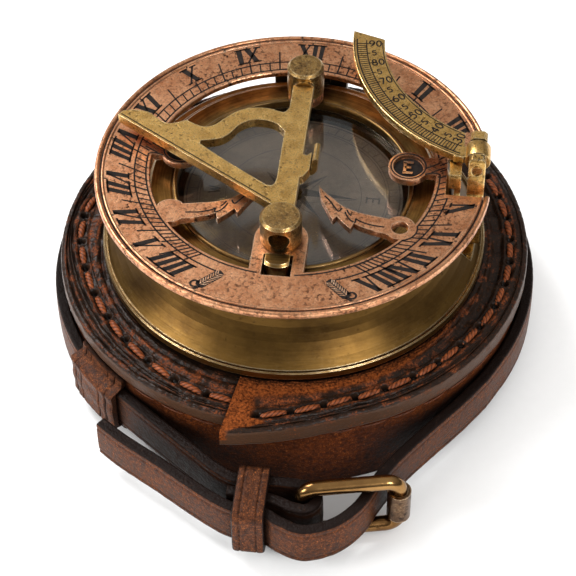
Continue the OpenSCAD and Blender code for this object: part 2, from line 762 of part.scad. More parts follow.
module post_screws() {
    color("goldenrod") for (y = [-front_post_y, rear_post_y]) translate([0, y, ring_z - 1.1])
        screw_up(screw_r, screw_r + 1, 1.1, ring_t + 2.1);
}

// The gnomon

module gnomon_outline() {
    front_y = -front_post_y + front_post_r + end_gap;
    rear_y = rear_post_y - rear_post_r - end_gap;
    run = 1 / tan(style_angle);
    foot_y = 9 - (tip_reach - bar_half) * run;
    difference() {
        polygon(concat(
            [[bar_half, front_y], [bar_half, rear_y], [-bar_half, rear_y]],
            smooth([[-bar_half, 16.2], [-4, 14.2], [-7.6, 15.2], [-11.6, 15.1], [-15.4, 13.6], [-18.4, 10.6],
                [-21, 7.6], [-23.6, 6.8], [-26, 7.6], [-28.2, 8.6], [-31, 7.4], [-33.4, 7.2], [-36, 9],
                [-38.6, 10.8], [-tip_reach + 3.2, 11.2]]),
            [[-tip_reach + 1, 10.6], [-tip_reach, 9], [-bar_half, foot_y], [-bar_half, front_y]]));
        polygon(concat(
            smooth([[-23.4, 1.7], [-19, 2.9], [-16.6, 5], [-14.6, 8.4], [-11.8, 10.5], [-8.4, 10.8],
                [-5.2, 9.8], [-2.9, 7.4]]),
            smooth([[-2.9, 4], [-2.9, -4], [-2.9, -9.6], [-3.6, -12.2], [-5.4, -12.1]]),
            smooth([[-10.6, -8.6], [-17.6, -3.8], [-23.6, 0.6]], 2)));
    }
}

module gnomon_plate() {
    color("goldenrod") {
        translate([0, 0, axis_z - plate_t / 2]) linear_extrude(plate_t) gnomon_outline();
        translate([0, 0, axis_z - plate_t / 2]) linear_extrude(plate_t)
            polygon([[bar_half - 0.5, -0.2], [bar_half + 0.9, -1], [tab_reach - 2, 0.4],
                [tab_reach - 2, -5.8], [bar_half + 0.9, -8.2], [bar_half - 0.5, -9]]);
        finger_lip();
    }
}

// The finger tab's outer part: a strip that curves up to a standing lip
module finger_lip() {
    bend = 3;
    strip_t = 1.5;
    centre = [tab_reach - bend, bend];
    translate([0, 0.4, axis_z - plate_t / 2]) rotate([90, 0, 0]) linear_extrude(6) polygon(concat(
        arc_points(centre, bend, -90, 0, 8),
        [[tab_reach + 0.1, bend + 2.6], [tab_reach - 0.6, bend + 3.1], [tab_reach - 1.3, bend + 2.5]],
        arc_points(centre, bend - strip_t, 0, -90, 6)));
}

module gnomon_pivots() {
    front_y = -front_post_y + front_post_r + end_gap;
    rear_y = rear_post_y - rear_post_r - end_gap;
    pivot_r2 = post_bore_r - pivot_play;
    color("goldenrod") {
        translate([0, front_y, axis_z]) rotate([90, 0, 0])
            cylinder(r = pivot_r2, h = front_post_r + end_gap);
        translate([0, rear_y, axis_z]) rotate([-90, 0, 0])
            cylinder(r = pivot_r2, h = 2 * rear_post_r - 1.6);
    }
}

// The latitude arc

module latitude_arc() {
    free_end = 178;
    z0 = fold_z - arc_t / 2;
    color("goldenrod") difference() {
        union() {
            intersection() {
                translate([arc_c.x, arc_c.y, z0]) rotate([0, 0, free_end])
                    rotate_extrude(angle = 255 - free_end, $fn = 180)
                        translate([arc_in_r, 0]) square([arc_band, arc_t]);
                translate([0, -20, z0 - 1]) cube([fold_x - root_gap, 80, arc_t + 2]);
            }
            translate([fold_x - 6, root_front_y + 0.4, z0]) cube([6, fold_barrel_l - 0.8, arc_t]);
            translate([fold_x, root_front_y, fold_z]) rotate([-90, 0, 0])
                cylinder(r = fold_barrel_r, h = fold_barrel_l);
        }
        translate([fold_x, root_front_y - 1, fold_z]) rotate([-90, 0, 0])
            cylinder(r = fold_pin_r + pin_play, h = fold_barrel_l + 2);
        translate([arc_c.x - arc_r, hinge_y + 0.9, z0 - 1]) rotate([0, 0, -18])
            translate([-5, 0, 0]) cube([arc_band + 12, 8, arc_t + 2]);
    }
}

case_floor();
case_wall();
case_pad();
rim_left();
rim_right();
rim_thread();
belt_loops();
strap();
keeper();
buckle_frame();
buckle_roller();
base_dish();
bezel_ring();
window_glass();
glass_retainer();
card_liner();
pivot_pin();
compass_card();
card_cap();
card_magnet();
front_catch();
hinge_block();
hinge_pin();
hinge_screws();
arc_bracket();
arc_fold_pin();
bracket_screws();
chapter_ring();
ring_knuckle();
front_post();
rear_post();
post_screws();
gnomon_plate();
gnomon_pivots();
latitude_arc();
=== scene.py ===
# %% [markdown]
# # A folding sundial compass in its leather case
# The object is a small inclining sundial. A copper hour ring and a brass gnomon lie over a compass,
# and a stitched leather case with a strap holds it all. The exact metal parts come from a fixed
# frame. This lesson dresses them with materials, and works out the leather, the thread, the
# engraving and the compass card as new surfaces.

# %% Load the frame
import bpy
import numpy as np
from mathutils import Matrix, Vector


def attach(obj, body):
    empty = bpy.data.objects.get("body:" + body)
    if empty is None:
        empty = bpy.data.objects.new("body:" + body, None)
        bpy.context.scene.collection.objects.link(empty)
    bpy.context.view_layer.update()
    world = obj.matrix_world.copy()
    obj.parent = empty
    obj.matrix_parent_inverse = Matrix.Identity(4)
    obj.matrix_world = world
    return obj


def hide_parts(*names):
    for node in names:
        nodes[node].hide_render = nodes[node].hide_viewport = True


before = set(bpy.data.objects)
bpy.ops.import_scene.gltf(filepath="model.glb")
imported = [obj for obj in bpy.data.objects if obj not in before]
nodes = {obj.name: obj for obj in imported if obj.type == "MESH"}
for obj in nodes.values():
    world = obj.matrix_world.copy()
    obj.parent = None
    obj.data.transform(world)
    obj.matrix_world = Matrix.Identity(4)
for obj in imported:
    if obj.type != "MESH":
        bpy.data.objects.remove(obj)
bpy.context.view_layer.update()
print("nodes in the frame:", len(nodes))

# %% [markdown]
# ## Sizes
# Every size below is in millimetres, as on a workshop drawing, and is turned into metres only when
# a mesh is made. The ring, rim and strap sizes repeat the ones that the metal and the leather were
# built to, so each new surface sits exactly on what carries it.

# %% Sizes of the object
MM = 0.001
RING_TOP = 52.0
CASE_R, CASE_TOP = 60.0, 21.2
RIM_TOP, LAP_RISE = 25.4, 1.0
LAP_ANGLE, SEAM_ANGLE = 261.0, 90.0
THREAD_R = 54.2
STRAP_W, STRAP_T, STRAP_Z = 12.0, 3.2, 11.0
LOOP_AT, LOOP_TURN = (216.0, 82.0), 16

# %% [markdown]
# ## Surfaces from arrays
# A surface is a grid of points: one direction runs along the piece, the other runs round it. A grid
# is easy to work out with whole arrays, and its faces are always the same pattern of squares, so one
# helper can turn any such grid into a mesh. A grid that closes on itself joins its last row to
# its first, and an open tube gets a flat face at each end. Three small curves shape most of the
# details: a bell for grooves and seams, a ramp and a soft step for what starts or ends.

# %% Helpers that turn arrays into meshes
def mesh_piece(name, points, faces, sharp=40.0, smooth=True):
    """An object at the origin from points in mm and lists of corner numbers."""
    mesh = bpy.data.meshes.new(name)
    mesh.from_pydata((np.asarray(points, float).reshape(-1, 3) * MM).tolist(), [], faces)
    mesh.polygons.foreach_set("use_smooth", np.full(len(mesh.polygons), smooth))
    if smooth:
        mesh.set_sharp_from_angle(angle=np.radians(sharp))
    piece = bpy.data.objects.new(name, mesh)
    bpy.context.scene.collection.objects.link(piece)
    return piece


def settle(piece, material, body, node=None):
    """Gives a piece its material, the body that it rides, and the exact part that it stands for."""
    piece.data.materials.append(material)
    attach(piece, body)
    if node:
        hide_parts(node)
    return piece


def tell(piece, key, values):
    """Writes one number on each point of a mesh, for its material to read."""
    numbers = np.ravel(values).astype(np.float32)
    piece.data.attributes.new(key, "FLOAT", "POINT").data.foreach_set("value", numbers)


def grid_faces(rows, columns, close_rows=False, close_columns=False, flip=False):
    """Corner numbers of the squares of a grid: corner (i, j) has the number i * columns + j."""
    i, j = np.meshgrid(np.arange(rows if close_rows else rows - 1),
                       np.arange(columns if close_columns else columns - 1), indexing="ij")
    k, m = (i + 1) % rows, (j + 1) % columns
    quads = np.stack([i * columns + j, k * columns + j, k * columns + m, i * columns + m], -1).reshape(-1, 4)
    return (quads[:, ::-1] if flip else quads).tolist()


def tube_faces(rows, columns, flip=False):
    """A grid closed round its columns, with a flat face at each open end."""
    first = list(range(columns))
    last = list(range((rows - 1) * columns, rows * columns))
    ends = [first[::-1], last] if flip else [first, last[::-1]]
    return grid_faces(rows, columns, close_columns=True, flip=flip) + ends


def many(grids):
    """Several equal tubes as one list of points and one list of faces; grids is (count, rows, columns, 3)."""
    count, rows, columns = grids.shape[:3]
    one = tube_faces(rows, columns)
    faces = [[corner + n * rows * columns for corner in face] for n in range(count) for face in one]
    return grids.reshape(-1, 3), faces


def polar(radius, degrees, *height):
    """Points at a radius and an angle, flat or at a height: radius times cosine, radius times sine."""
    radius, a, *height = np.broadcast_arrays(radius, np.radians(degrees), *height)
    return np.stack([radius * np.cos(a), radius * np.sin(a), *height], -1)


def arc_line(centre, radius, start, stop, n):
    """Flat points on a circle from one angle to another."""
    return np.asarray(centre) + polar(radius, np.linspace(start, stop, n))


def right_of(line, closed=False):
    """The unit vector to the right of a flat line at each point: its direction turned by a quarter."""
    way = np.roll(line, -1, 0) - np.roll(line, 1, 0) if closed else np.gradient(line, axis=0)
    way /= np.linalg.norm(way, axis=1)[:, None]
    return np.stack([way[:, 1], -way[:, 0]], -1)


def set_off(line, normal, out):
    """A flat line's points moved along its normals, by one distance for each point of an outline."""
    return (line[:, None, k] + normal[:, None, k] * out for k in (0, 1))


def bell(value, at, width, power=2):
    """1 at one value, falling to 0 on both sides of it: e to the minus distance over width, to a power."""
    return np.exp(-np.abs((value - at) / width) ** power)


def ramp(value, low, high):
    """0 below the low end, 1 above the high end, and a smooth cubic step between them."""
    t = np.clip((value - low) / (high - low), 0, 1)
    return t * t * (3 - 2 * t)


def soft_step(value, width):
    """0 well below zero, 1 well above it, and half at zero: half of 1 plus the hyperbolic tangent."""
    return 0.5 + 0.5 * np.tanh(value / width / 2)


def ripple(x, y, z, size, seed=0):
    """A smooth random height: the mean of sines in fixed random directions, with bumps of that size."""
    pick = np.random.default_rng(seed)
    total, waves = 0, 9
    for _ in range(waves):
        way = pick.normal(size=3)
        way *= 2 * np.pi / (size * pick.uniform(0.7, 1.6) * np.linalg.norm(way))
        total = total + np.sin(way[0] * x + way[1] * y + way[2] * z + pick.uniform(0, 6.28))
    return total / waves

# %% [markdown]
# ## Camera
# The camera's place was worked out from the circles of the ring, the base and the rim. It stands
# in front and a little to the right, looks down at 48 degrees, and uses a long lens, so the
# circles stay nearly the same ellipse. A camera could be turned by hand, but a matrix built from
# its three axes says exactly what it does: right, up and back.

# %% Camera
LOOK_AT, DISTANCE = np.array([1.09, -22.07, 31.0]), 491.6
AZIMUTH, ELEVATION, ROLL = 7.36, 47.84, -0.95
SENSOR, PICTURE, FOCAL_PIXELS = 36.0, 576, 1949.9


def camera_axes(azimuth, elevation, roll):
    """Right, up and back of a camera that looks at the object from that side and height."""
    a, e, r = np.radians([azimuth, elevation, roll])
    back = np.array([np.sin(a) * np.cos(e), -np.cos(a) * np.cos(e), np.sin(e)])
    right = np.array([np.cos(a), np.sin(a), 0.0])
    up = np.cross(back, right)
    return right * np.cos(r) + up * np.sin(r), up * np.cos(r) - right * np.sin(r), back


right, up, back = camera_axes(AZIMUTH, ELEVATION, ROLL)
place = (LOOK_AT + back * DISTANCE) * MM
camera_data = bpy.data.cameras.new("camera")
camera_data.sensor_width, camera_data.lens = SENSOR, FOCAL_PIXELS * SENSOR / PICTURE
camera_data.clip_start, camera_data.clip_end = 0.01, 20
camera = bpy.data.objects.new("camera", camera_data)
camera.matrix_world = Matrix([[right[i], up[i], back[i], place[i]] for i in range(3)] + [[0, 0, 0, 1]])
bpy.context.scene.collection.objects.link(camera)
bpy.context.scene.camera = camera
print("lens", round(camera_data.lens, 1), "mm")

# %% [markdown]
# ## Floor and light
# The object stands on seamless white paper. A big softbox above and behind gives the long bright
# edges on the metal, a second one from the left fills the leather, a third one in front lights the
# buckle, and a pale world lights the rest.

# %% Floor and lights
FLOOR_HALF, LIGHTS_AIM = 3000, Vector((0, 0, 0.03))


def area_light(name, where, size, power):
    """A round softbox at a place in metres, turned towards the object."""
    data = bpy.data.lights.new(name, "AREA")
    data.shape, data.size, data.energy = "DISK", size, power
    light = bpy.data.objects.new(name, data)
    light.location = where
    light.rotation_euler = (LIGHTS_AIM - Vector(where)).to_track_quat("-Z", "Y").to_euler()
    bpy.context.scene.collection.objects.link(light)


floor = mesh_piece("floor", [[x * FLOOR_HALF, y * FLOOR_HALF, 0] for x, y in ((-1, -1), (1, -1), (1, 1), (-1, 1))],
                   [[0, 1, 2, 3]], smooth=False)
area_light("softbox_top", (-0.62, 0.42, 0.85), 0.55, 9)
area_light("softbox_left", (-0.85, -0.45, 0.5), 0.4, 5)
area_light("softbox_front", (0.6, -0.75, 0.7), 0.4, 5)
world = bpy.data.worlds.new("studio")
bpy.context.scene.world = world
world.use_nodes = True
bpy.context.scene.view_settings.view_transform = "Standard"
print("lights:", len(bpy.data.lights))

# %% [markdown]
# ## Shader helpers
# A material is a small graph of nodes. The class below holds one such graph and gives short words
# for the steps that every finish repeats: arithmetic, mixing two colours, and spreading a part of
# a value over a new range. So each finish reads from top to bottom like a recipe.

# %% Helpers for shader graphs
def put(tree, socket, value):
    """Links a socket to another one, or gives it a number, a vector or a colour."""
    if isinstance(value, bpy.types.NodeSocket):
        tree.links.new(value, socket)
    else:
        socket.default_value = (*value, 1.0) if socket.type == "RGBA" else value


class Graph:
    """A node tree; each step adds one node to it and returns one of the node's outputs."""

    def __init__(self, tree):
        self.tree = tree

    def add(self, kind, out=0, settings=None, **inputs):
        """Any node: an input is told by its name, with _ for a space, or by its number, as in_0."""
        made = self.tree.nodes.new("ShaderNode" + kind)
        for key, value in (settings or {}).items():
            setattr(made, key, value)
        for key, value in inputs.items():
            put(self.tree, made.inputs[int(key[3:]) if key.startswith("in_") else key.replace("_", " ")], value)
        return made.outputs[out]

    def maths(self, operation, a, b=0.0, clamp=False):
        """One step of arithmetic."""
        return self.add("Math", 0, {"operation": operation, "use_clamp": clamp}, in_0=a, in_1=b)

    def plus(self, a, b):
        """a + b"""
        return self.maths("ADD", a, b)

    def minus(self, a, b, clamp=False):
        """a - b"""
        return self.maths("SUBTRACT", a, b, clamp)

    def times(self, a, b):
        """a times b"""
        return self.maths("MULTIPLY", a, b)

    def larger(self, a, b):
        """The larger one of a and b."""
        return self.maths("MAXIMUM", a, b)

    def mix(self, factor, a, b, strength=None):
        """Colour a where the factor is 0, colour b where it is 1; a strength makes the factor smaller."""
        factor = factor if strength is None else self.times(factor, strength)
        return self.add("Mix", 2, {"data_type": "RGBA"}, in_0=factor, in_6=a, in_7=b)

    def spread(self, value, low, high, to_low=0.0, to_high=1.0):
        """Stretches the part of a value between low and high over a new range, and clips the rest."""
        return self.add("MapRange", in_0=value, in_1=low, in_2=high, in_3=to_low, in_4=to_high)

    def point(self):
        """Where a point lies on the object itself, in metres."""
        return self.add("TexCoord", "Object")

    def noted(self, key):
        """The number that was written on the mesh's points under this name."""
        return self.add("Attribute", "Fac", {"attribute_name": key})

    def bump(self, height, strength, distance):
        """A normal that follows a height; the distance is the real depth in metres."""
        return self.add("Bump", Height=height, Strength=strength, Distance=distance)

    def use(self, shared, **inputs):
        """A shared group with its own values."""
        return self.add("Group", 0, {"node_tree": shared}, **inputs)


def finish(name, build):
    """A material whose build(graph) returns the Principled BSDF's inputs as a dictionary."""
    material = bpy.data.materials.new(name)
    material.use_nodes = True
    tree = material.node_tree
    for key, value in build(Graph(tree)).items():
        put(tree, tree.nodes["Principled BSDF"].inputs[key], value)
    return material

# %% [markdown]
# ## The studio's light
# Metal shows what it reflects, and a plain white world would wash the brass out. A photographer
# hangs dark cloth round the object; here the world is bright for the paper and the leather, and
# dim and brighter towards its top for mirrored rays only.

# %% World
sky = Graph(world.node_tree)
for old in list(world.node_tree.nodes):
    world.node_tree.nodes.remove(old)
height = sky.add("SeparateXYZ", "Z", Vector=sky.add("TexCoord", "Generated"))
glow = sky.mix(sky.spread(height, -0.1, 0.75), (0.62, 0.63, 0.65), (1.0, 0.99, 0.97))
mirrored = sky.mix(sky.spread(height, 0.05, 0.95), (0.06, 0.06, 0.062), (0.62, 0.61, 0.59))
glow = sky.mix(sky.add("LightPath", "Is Glossy Ray"), glow, mirrored)
shine = sky.add("Background", Color=glow, Strength=1.0)
world.node_tree.links.new(shine, world.node_tree.nodes.new("ShaderNodeOutputWorld").inputs[0])
print("world nodes:", len(world.node_tree.nodes))

# %% [markdown]
# ## Shared effects
# Old metal and old leather show the same few effects: blotches, worn edges, brushing that runs
# round the part, and a grain. Each one is made once here as a group. Blotches are noise with its
# middle stretched. Worn edges come from the Bevel node: where the rounded normal differs from the
# true one, there is an edge. Painted shade goes where little light gets in, which the Ambient
# Occlusion node tells. Round brushing is noise that changes fast across the ring and slowly along
# it; it reads the direction as a point on a circle, so it has no seam.

# %% Shared shader groups
def group(name, result, build, **inputs):
    """A node group with number inputs and one output; build(graph, inputs) returns what it puts out."""
    tree = bpy.data.node_groups.new(name, "ShaderNodeTree")
    for key, value in inputs.items():
        tree.interface.new_socket(key, in_out="INPUT", socket_type="NodeSocketFloat").default_value = value
    tree.interface.new_socket(result, in_out="OUTPUT", socket_type="NodeSocketFloat")
    entry, leave = tree.nodes.new("NodeGroupInput"), tree.nodes.new("NodeGroupOutput")
    tree.links.new(build(Graph(tree), entry.outputs), leave.inputs[0])
    return tree


def build_blotches(g, given):
    """Noise in the object's own space, with its part from Low to High stretched over 0 to 1."""
    noise = g.add("TexNoise", 0, {"noise_dimensions": "4D"}, Vector=g.point(), W=given["Seed"],
                  Scale=given["Scale"], Detail=6.0, Roughness=0.62)
    return g.spread(noise, given["Low"], given["High"])


def build_edges(g, given):
    """1 minus the dot product of the rounded normal and the true one, broken up by a noise."""
    soft = g.add("Bevel", 0, {"samples": 6}, Radius=given["Radius"])
    true = g.add("NewGeometry", "Normal")
    alike = g.add("VectorMath", "Value", {"operation": "DOT_PRODUCT"}, in_0=soft, in_1=true)
    edge = g.spread(g.minus(1.0, alike), 0.01, 0.14)
    rub = g.add("TexNoise", Vector=g.point(), Scale=700.0, Detail=3.0)
    return g.times(edge, g.spread(rub, 0.3, 0.6, 0.35, 1.0))


def build_round(g, given):
    """Noise at the point (x / radius, y / radius) times Along, and the radius and the height times Across."""
    x, y, z = g.add("SeparateXYZ", slice(3), Vector=g.point())
    radius = g.maths("SQRT", g.plus(g.times(x, x), g.times(y, y)))
    reach = g.times(given["Along"], 0.05)
    turn = [g.times(g.maths("DIVIDE", v, radius), reach) for v in (x, y)]
    where = g.add("CombineXYZ", X=turn[0], Y=turn[1], Z=g.times(radius, given["Across"]))
    noise = g.add("TexNoise", 0, {"noise_dimensions": "4D"}, Vector=where, W=g.times(z, given["Across"]),
                  Scale=1.0, Detail=4.0, Roughness=0.55)
    return g.spread(noise, given["Low"], given["High"])


def build_grain(g, given):
    """The distance to the nearest of many scattered points, in bent space, plus a finer noise."""
    coords = g.point()
    bend = g.add("TexNoise", 1, Vector=coords, Scale=given["Scale"], Detail=2.0)
    moved = g.add("VectorMath", 0, {"operation": "MULTIPLY_ADD"}, in_0=bend, in_1=(0.0007,) * 3, in_2=coords)
    cells = g.add("TexVoronoi", 0, {"feature": "F1"}, Vector=moved, Scale=given["Scale"])
    fine = g.add("TexNoise", Vector=coords, Scale=g.times(given["Scale"], 2.6), Detail=3.0)
    return g.plus(g.times(cells, 0.6), g.times(fine, 0.6))


def build_open_places(g, given):
    """1 where much of the sky can be seen, 0 deep in a fold or a corner."""
    open_sky = g.add("AmbientOcclusion", "AO", {"samples": 6}, Distance=given["Distance"])
    return g.spread(open_sky, 0.35, 0.92)


BLOTCHES = group("blotches", "Mask", build_blotches, Scale=300.0, Low=0.45, High=0.6, Seed=0.0)
WORN_EDGES = group("worn_edges", "Mask", build_edges, Radius=0.0005)
ROUND_MARKS = group("round_marks", "Mask", build_round, Across=1200.0, Along=60.0, Low=0.35, High=0.65)
GRAIN = group("grain", "Height", build_grain, Scale=900.0)
OPEN_PLACES = group("open_places", "Mask", build_open_places, Distance=0.0015)


def blotches(g, scale, low, high, seed=0.0):
    """The blotches' mask; a larger scale makes them smaller, and low and high say how much they cover."""
    return g.use(BLOTCHES, Scale=scale, Low=low, High=high, Seed=seed)


# Painted shade: the Ambient Occlusion darkening that the finishes below mix into their colours.
def painted_shade(g, reach, strength, high=1.0):
    """How much painted shade darkens a point: the strength in the deepest folds, and none where it is open."""
    return g.spread(g.use(OPEN_PLACES, Distance=reach), 0.0, high, strength, 0.0)


print("shared groups:", [g.name for g in bpy.data.node_groups])

# %% [markdown]
# ## Metal finishes
# The ring is copper with a brown patina, rubbed bright where it stands out. The gnomon, the arc
# and the posts are speckled antique brass. The base is plainer, darker brass with fine marks
# running round it, and painted shade darkens it towards its top, under the ring. All are one
# recipe with their own colours: a body colour, a second colour in broad blotches, dark specks,
# painted shade in the corners, and a bright rub on the edges. Small bright and dark grains break
# up the copper and the brass from close by.

# %% Metals
ROUND_ACROSS, EDGE_WEAR = 2600.0, 0.0006


def aged_metal(name, body, second, dark, bright, rough=0.36, specks=(0.56, 0.66), scale=260.0, brushed=0.0,
               pits=0.25, along=90.0, flecks=0.0, shade=None, dirt_and_shade=0.75, reach=0.0015):
    """Aged metal from four colours; specks is the part of the noise that turns dark.

    Flecks are small bright and dark grains. The shade is the lowest and the highest level, in
    metres, between which painted shade darkens the metal towards its top. Painted shade lies in
    every corner as wide as the reach.
    """
    def build(g):
        colour = g.mix(blotches(g, scale, 0.38, 0.64), body, second)
        if brushed:
            lines = g.use(ROUND_MARKS, Across=ROUND_ACROSS, Along=along, Low=0.38, High=0.62)
            colour = g.mix(lines, colour, dark, brushed)
        if flecks:
            for tone, low, strength, seed in ((bright, 0.54, 0.55, 11.0), (dark, 0.55, 0.8, 12.0)):
                grains = blotches(g, scale * 9, low, low + 0.10, seed)
                colour = g.mix(grains, colour, tone, flecks * strength)
        # Painted shade: darker from the lower to the higher level of the shade.
        if shade:
            level = g.add("SeparateXYZ", "Z", Vector=g.point())
            colour = g.mix(g.spread(level, *shade, 0.0, 0.85), colour, dark)
        spots = blotches(g, scale * 3.4, *specks, 3.0)
        stain = blotches(g, scale * 0.35, 0.40, 0.60, 7.0)
        spots = g.times(spots, g.spread(stain, 0.0, 1.0, 0.3, 1.0))
        colour = g.mix(spots, g.mix(stain, colour, second, 0.35), dark)
        rub = g.use(WORN_EDGES, Radius=EDGE_WEAR)
        # Painted shade in every corner, where little light gets in.
        colour = g.mix(painted_shade(g, reach, dirt_and_shade, 0.85), g.mix(rub, colour, bright, 0.8), dark)
        roughness = g.minus(g.plus(g.times(spots, 0.3), rough), g.times(rub, 0.12), clamp=True)
        height = g.minus(blotches(g, scale * 6, 0.2, 0.8, 1.0), spots)
        return {"Base Color": colour, "Roughness": roughness, "Metallic": 1.0,
                "Normal": g.bump(height, pits, 0.00006)}
    return finish(name, build)


copper = aged_metal("copper_patina", (0.86, 0.44, 0.235), (0.54, 0.22, 0.100), (0.036, 0.016, 0.010),
                    (1.0, 0.74, 0.52), rough=0.31, specks=(0.48, 0.60), pits=0.36, flecks=0.6)
antique_brass = aged_metal("antique_brass", (0.80, 0.50, 0.160), (0.50, 0.285, 0.078), (0.045, 0.026, 0.010),
                           (1.0, 0.84, 0.50), rough=0.30, specks=(0.52, 0.64), scale=300.0, pits=0.5, flecks=1.0)
post_brass = aged_metal("post_brass", (0.50, 0.300, 0.095), (0.25, 0.140, 0.050), (0.036, 0.020, 0.009),
                        (1.0, 0.80, 0.44), rough=0.30, specks=(0.46, 0.62), scale=340.0, pits=0.4, flecks=0.9)
# The base's shade is painted shade under the ring.
base_brass = aged_metal("base_brass", (0.35, 0.198, 0.054), (0.245, 0.132, 0.032), (0.034, 0.016, 0.005),
                        (1.0, 0.82, 0.52), rough=0.38, specks=(0.60, 0.76), scale=170.0, brushed=0.45, pits=0.12,
                        along=260.0, flecks=0.12, shade=(0.0262, 0.0325), dirt_and_shade=0.2)
# The bezel's strong corner darkening is painted shade.
bezel_brass = aged_metal("bezel_brass", (0.33, 0.190, 0.056), (0.16, 0.088, 0.028), (0.016, 0.008, 0.003),
                         (1.0, 0.80, 0.48), rough=0.30, specks=(0.56, 0.72), scale=170.0, brushed=0.50, pits=0.12,
                         dirt_and_shade=0.95, reach=0.004)
buckle_bronze = aged_metal("buckle_bronze", (0.40, 0.225, 0.080), (0.20, 0.100, 0.036), (0.03, 0.016, 0.009),
                           (0.95, 0.68, 0.36), rough=0.20, specks=(0.58, 0.70), scale=120.0, pits=0.15)
roller_bronze = aged_metal("roller_bronze", (0.20, 0.115, 0.060), (0.10, 0.055, 0.032), (0.02, 0.011, 0.008),
                           (0.80, 0.58, 0.36), rough=0.28, specks=(0.50, 0.66), scale=240.0, flecks=0.5)
dark_bronze = aged_metal("dark_bronze", (0.10, 0.075, 0.05), (0.06, 0.045, 0.03), (0.02, 0.015, 0.012),
                         (0.42, 0.32, 0.18), rough=0.45, scale=200.0)
plain_steel = aged_metal("plain_steel", (0.56, 0.57, 0.6), (0.44, 0.45, 0.48), (0.1, 0.1, 0.11),
                         (0.9, 0.9, 0.92), rough=0.3, scale=200.0)
print("metals ready:", len(bpy.data.materials))

# %% [markdown]
# ## Leather
# The leather was dyed nearly black and then rubbed, so the rust brown below shows through in
# streaks. On the rim the streaks run round with the tooled grooves; on the strap they are broken
# spots. Fine dark crumbs and bright grains break the colour up, painted shade turns deep folds and
# the gaps between layers black, and the cut edges are darker than the faces. The roughness falls
# where the leather is burnished.

# %% Leather finishes
PORES, NAP_SCALE = 900.0, 1500.0
PAINTED_FOLD_SHADE = (0.006, 0.003, 0.002)


def crumble(g, colour, dark, bright):
    """Breaks a leather's colour into fine dark crumbs and bright grains, and paints shade into its deep folds."""
    colour = g.mix(blotches(g, 2400, 0.43, 0.60, 8.0), colour, dark, 0.85)
    colour = g.mix(blotches(g, 3100, 0.56, 0.66, 9.0), colour, bright, 0.75)
    # Painted shade: near black in tight folds, and in the wider gaps between layers and near the floor.
    for reach, strength in ((0.0015, 0.85), (0.012, 0.92)):
        colour = g.mix(painted_shade(g, reach, strength), colour, PAINTED_FOLD_SHADE)
    return colour


def leather(name, dark, rust, low, high, bright=(0.56, 0.170, 0.040), grain_scale=PORES, rough=0.36, depth=0.00016):
    """Two-colour leather, with the dye rubbed off in spots and on edges, and painted shade in its folds."""
    def build(g):
        broad = g.spread(blotches(g, 60, 0.36, 0.62, 5.0), 0.0, 1.0, 0.5, 1.0)
        rub = g.times(blotches(g, 800, low, high, 2.0), broad)
        rub = g.larger(rub, g.times(g.use(WORN_EDGES, Radius=0.0005), 0.7))
        colour = crumble(g, g.mix(rub, dark, rust), dark, g.mix(g.spread(rub, 0.0, 0.6), dark, bright))
        return {"Base Color": colour, "Roughness": g.spread(rub, 0.0, 1.0, rough, rough + 0.25),
                "Specular IOR Level": 0.07, "Normal": g.bump(g.use(GRAIN, Scale=grain_scale), 0.7, depth)}
    return finish(name, build)


def build_rim(g):
    """The rim's own leather: black with rust rubbed through where the points say so, raw at the lap."""
    raw = g.noted("raw")
    low = g.spread(g.noted("rubbed"), 0.0, 1.0, 0.68, 0.36)
    high = g.plus(low, 0.12)
    streaks = g.use(ROUND_MARKS, Across=800.0, Along=100.0, Low=low, High=high)
    crumbs = g.spread(blotches(g, 2200, 0.42, 0.58, 9.0), 0.0, 1.0, 0.12, 1.0)
    rub = g.times(g.larger(streaks, blotches(g, 700, low, high, 2.0)), crumbs)
    colour = g.mix(rub, (0.016, 0.009, 0.006), (0.185, 0.045, 0.012))
    upward = g.add("SeparateXYZ", "Z", Vector=g.add("TexCoord", "Normal"))
    side = g.times(g.spread(upward, 0.55, 0.25), g.spread(rub, 0.0, 1.0, 1.0, 0.5))
    colour = g.mix(side, colour, (0.060, 0.030, 0.017))
    sparks = g.times(blotches(g, 2900, 0.56, 0.66, 10.0), g.spread(rub, 0.0, 0.7, 0.18, 0.8))
    colour = g.mix(sparks, colour, (0.40, 0.110, 0.026))
    suede = g.mix(blotches(g, NAP_SCALE, 0.36, 0.62, 6.0), (0.032, 0.008, 0.003), (0.27, 0.068, 0.015))
    # Painted shade in the grooves and the stitch holes, where little light gets in.
    colour = g.mix(painted_shade(g, 0.0022, 0.95), g.mix(raw, colour, suede), (0.005, 0.003, 0.002))
    height = g.mix(raw, g.times(g.use(GRAIN, Scale=PORES), 0.4), g.use(GRAIN, Scale=NAP_SCALE))
    return {"Base Color": colour, "Roughness": g.spread(g.larger(raw, rub), 0.0, 1.0, 0.30, 0.85),
            "Specular IOR Level": g.spread(raw, 0.0, 1.0, 0.13, 0.04), "Normal": g.bump(height, 0.7, 0.00035)}


rim_leather = finish("rim_leather", build_rim)
wall_leather = leather("wall_leather", (0.040, 0.010, 0.004), (0.22, 0.052, 0.011), 0.36, 0.60, rough=0.34)
strap_leather = leather("strap_leather", (0.032, 0.013, 0.008), (0.165, 0.052, 0.019), 0.36, 0.62,
                        grain_scale=1100.0, rough=0.32)
edge_leather = leather("edge_leather", (0.010, 0.006, 0.005), (0.06, 0.028, 0.016), 0.58, 0.74, (0.20, 0.11, 0.07),
                       grain_scale=NAP_SCALE, rough=0.30, depth=0.0003)
print("leathers ready:", len(bpy.data.materials))

# %% [markdown]
# ## Thread, felt, paint, glass and card
# The small finishes are each one or two blotchy colours. The thread has painted shade between
# its strands, and the glass is only a little smeared.

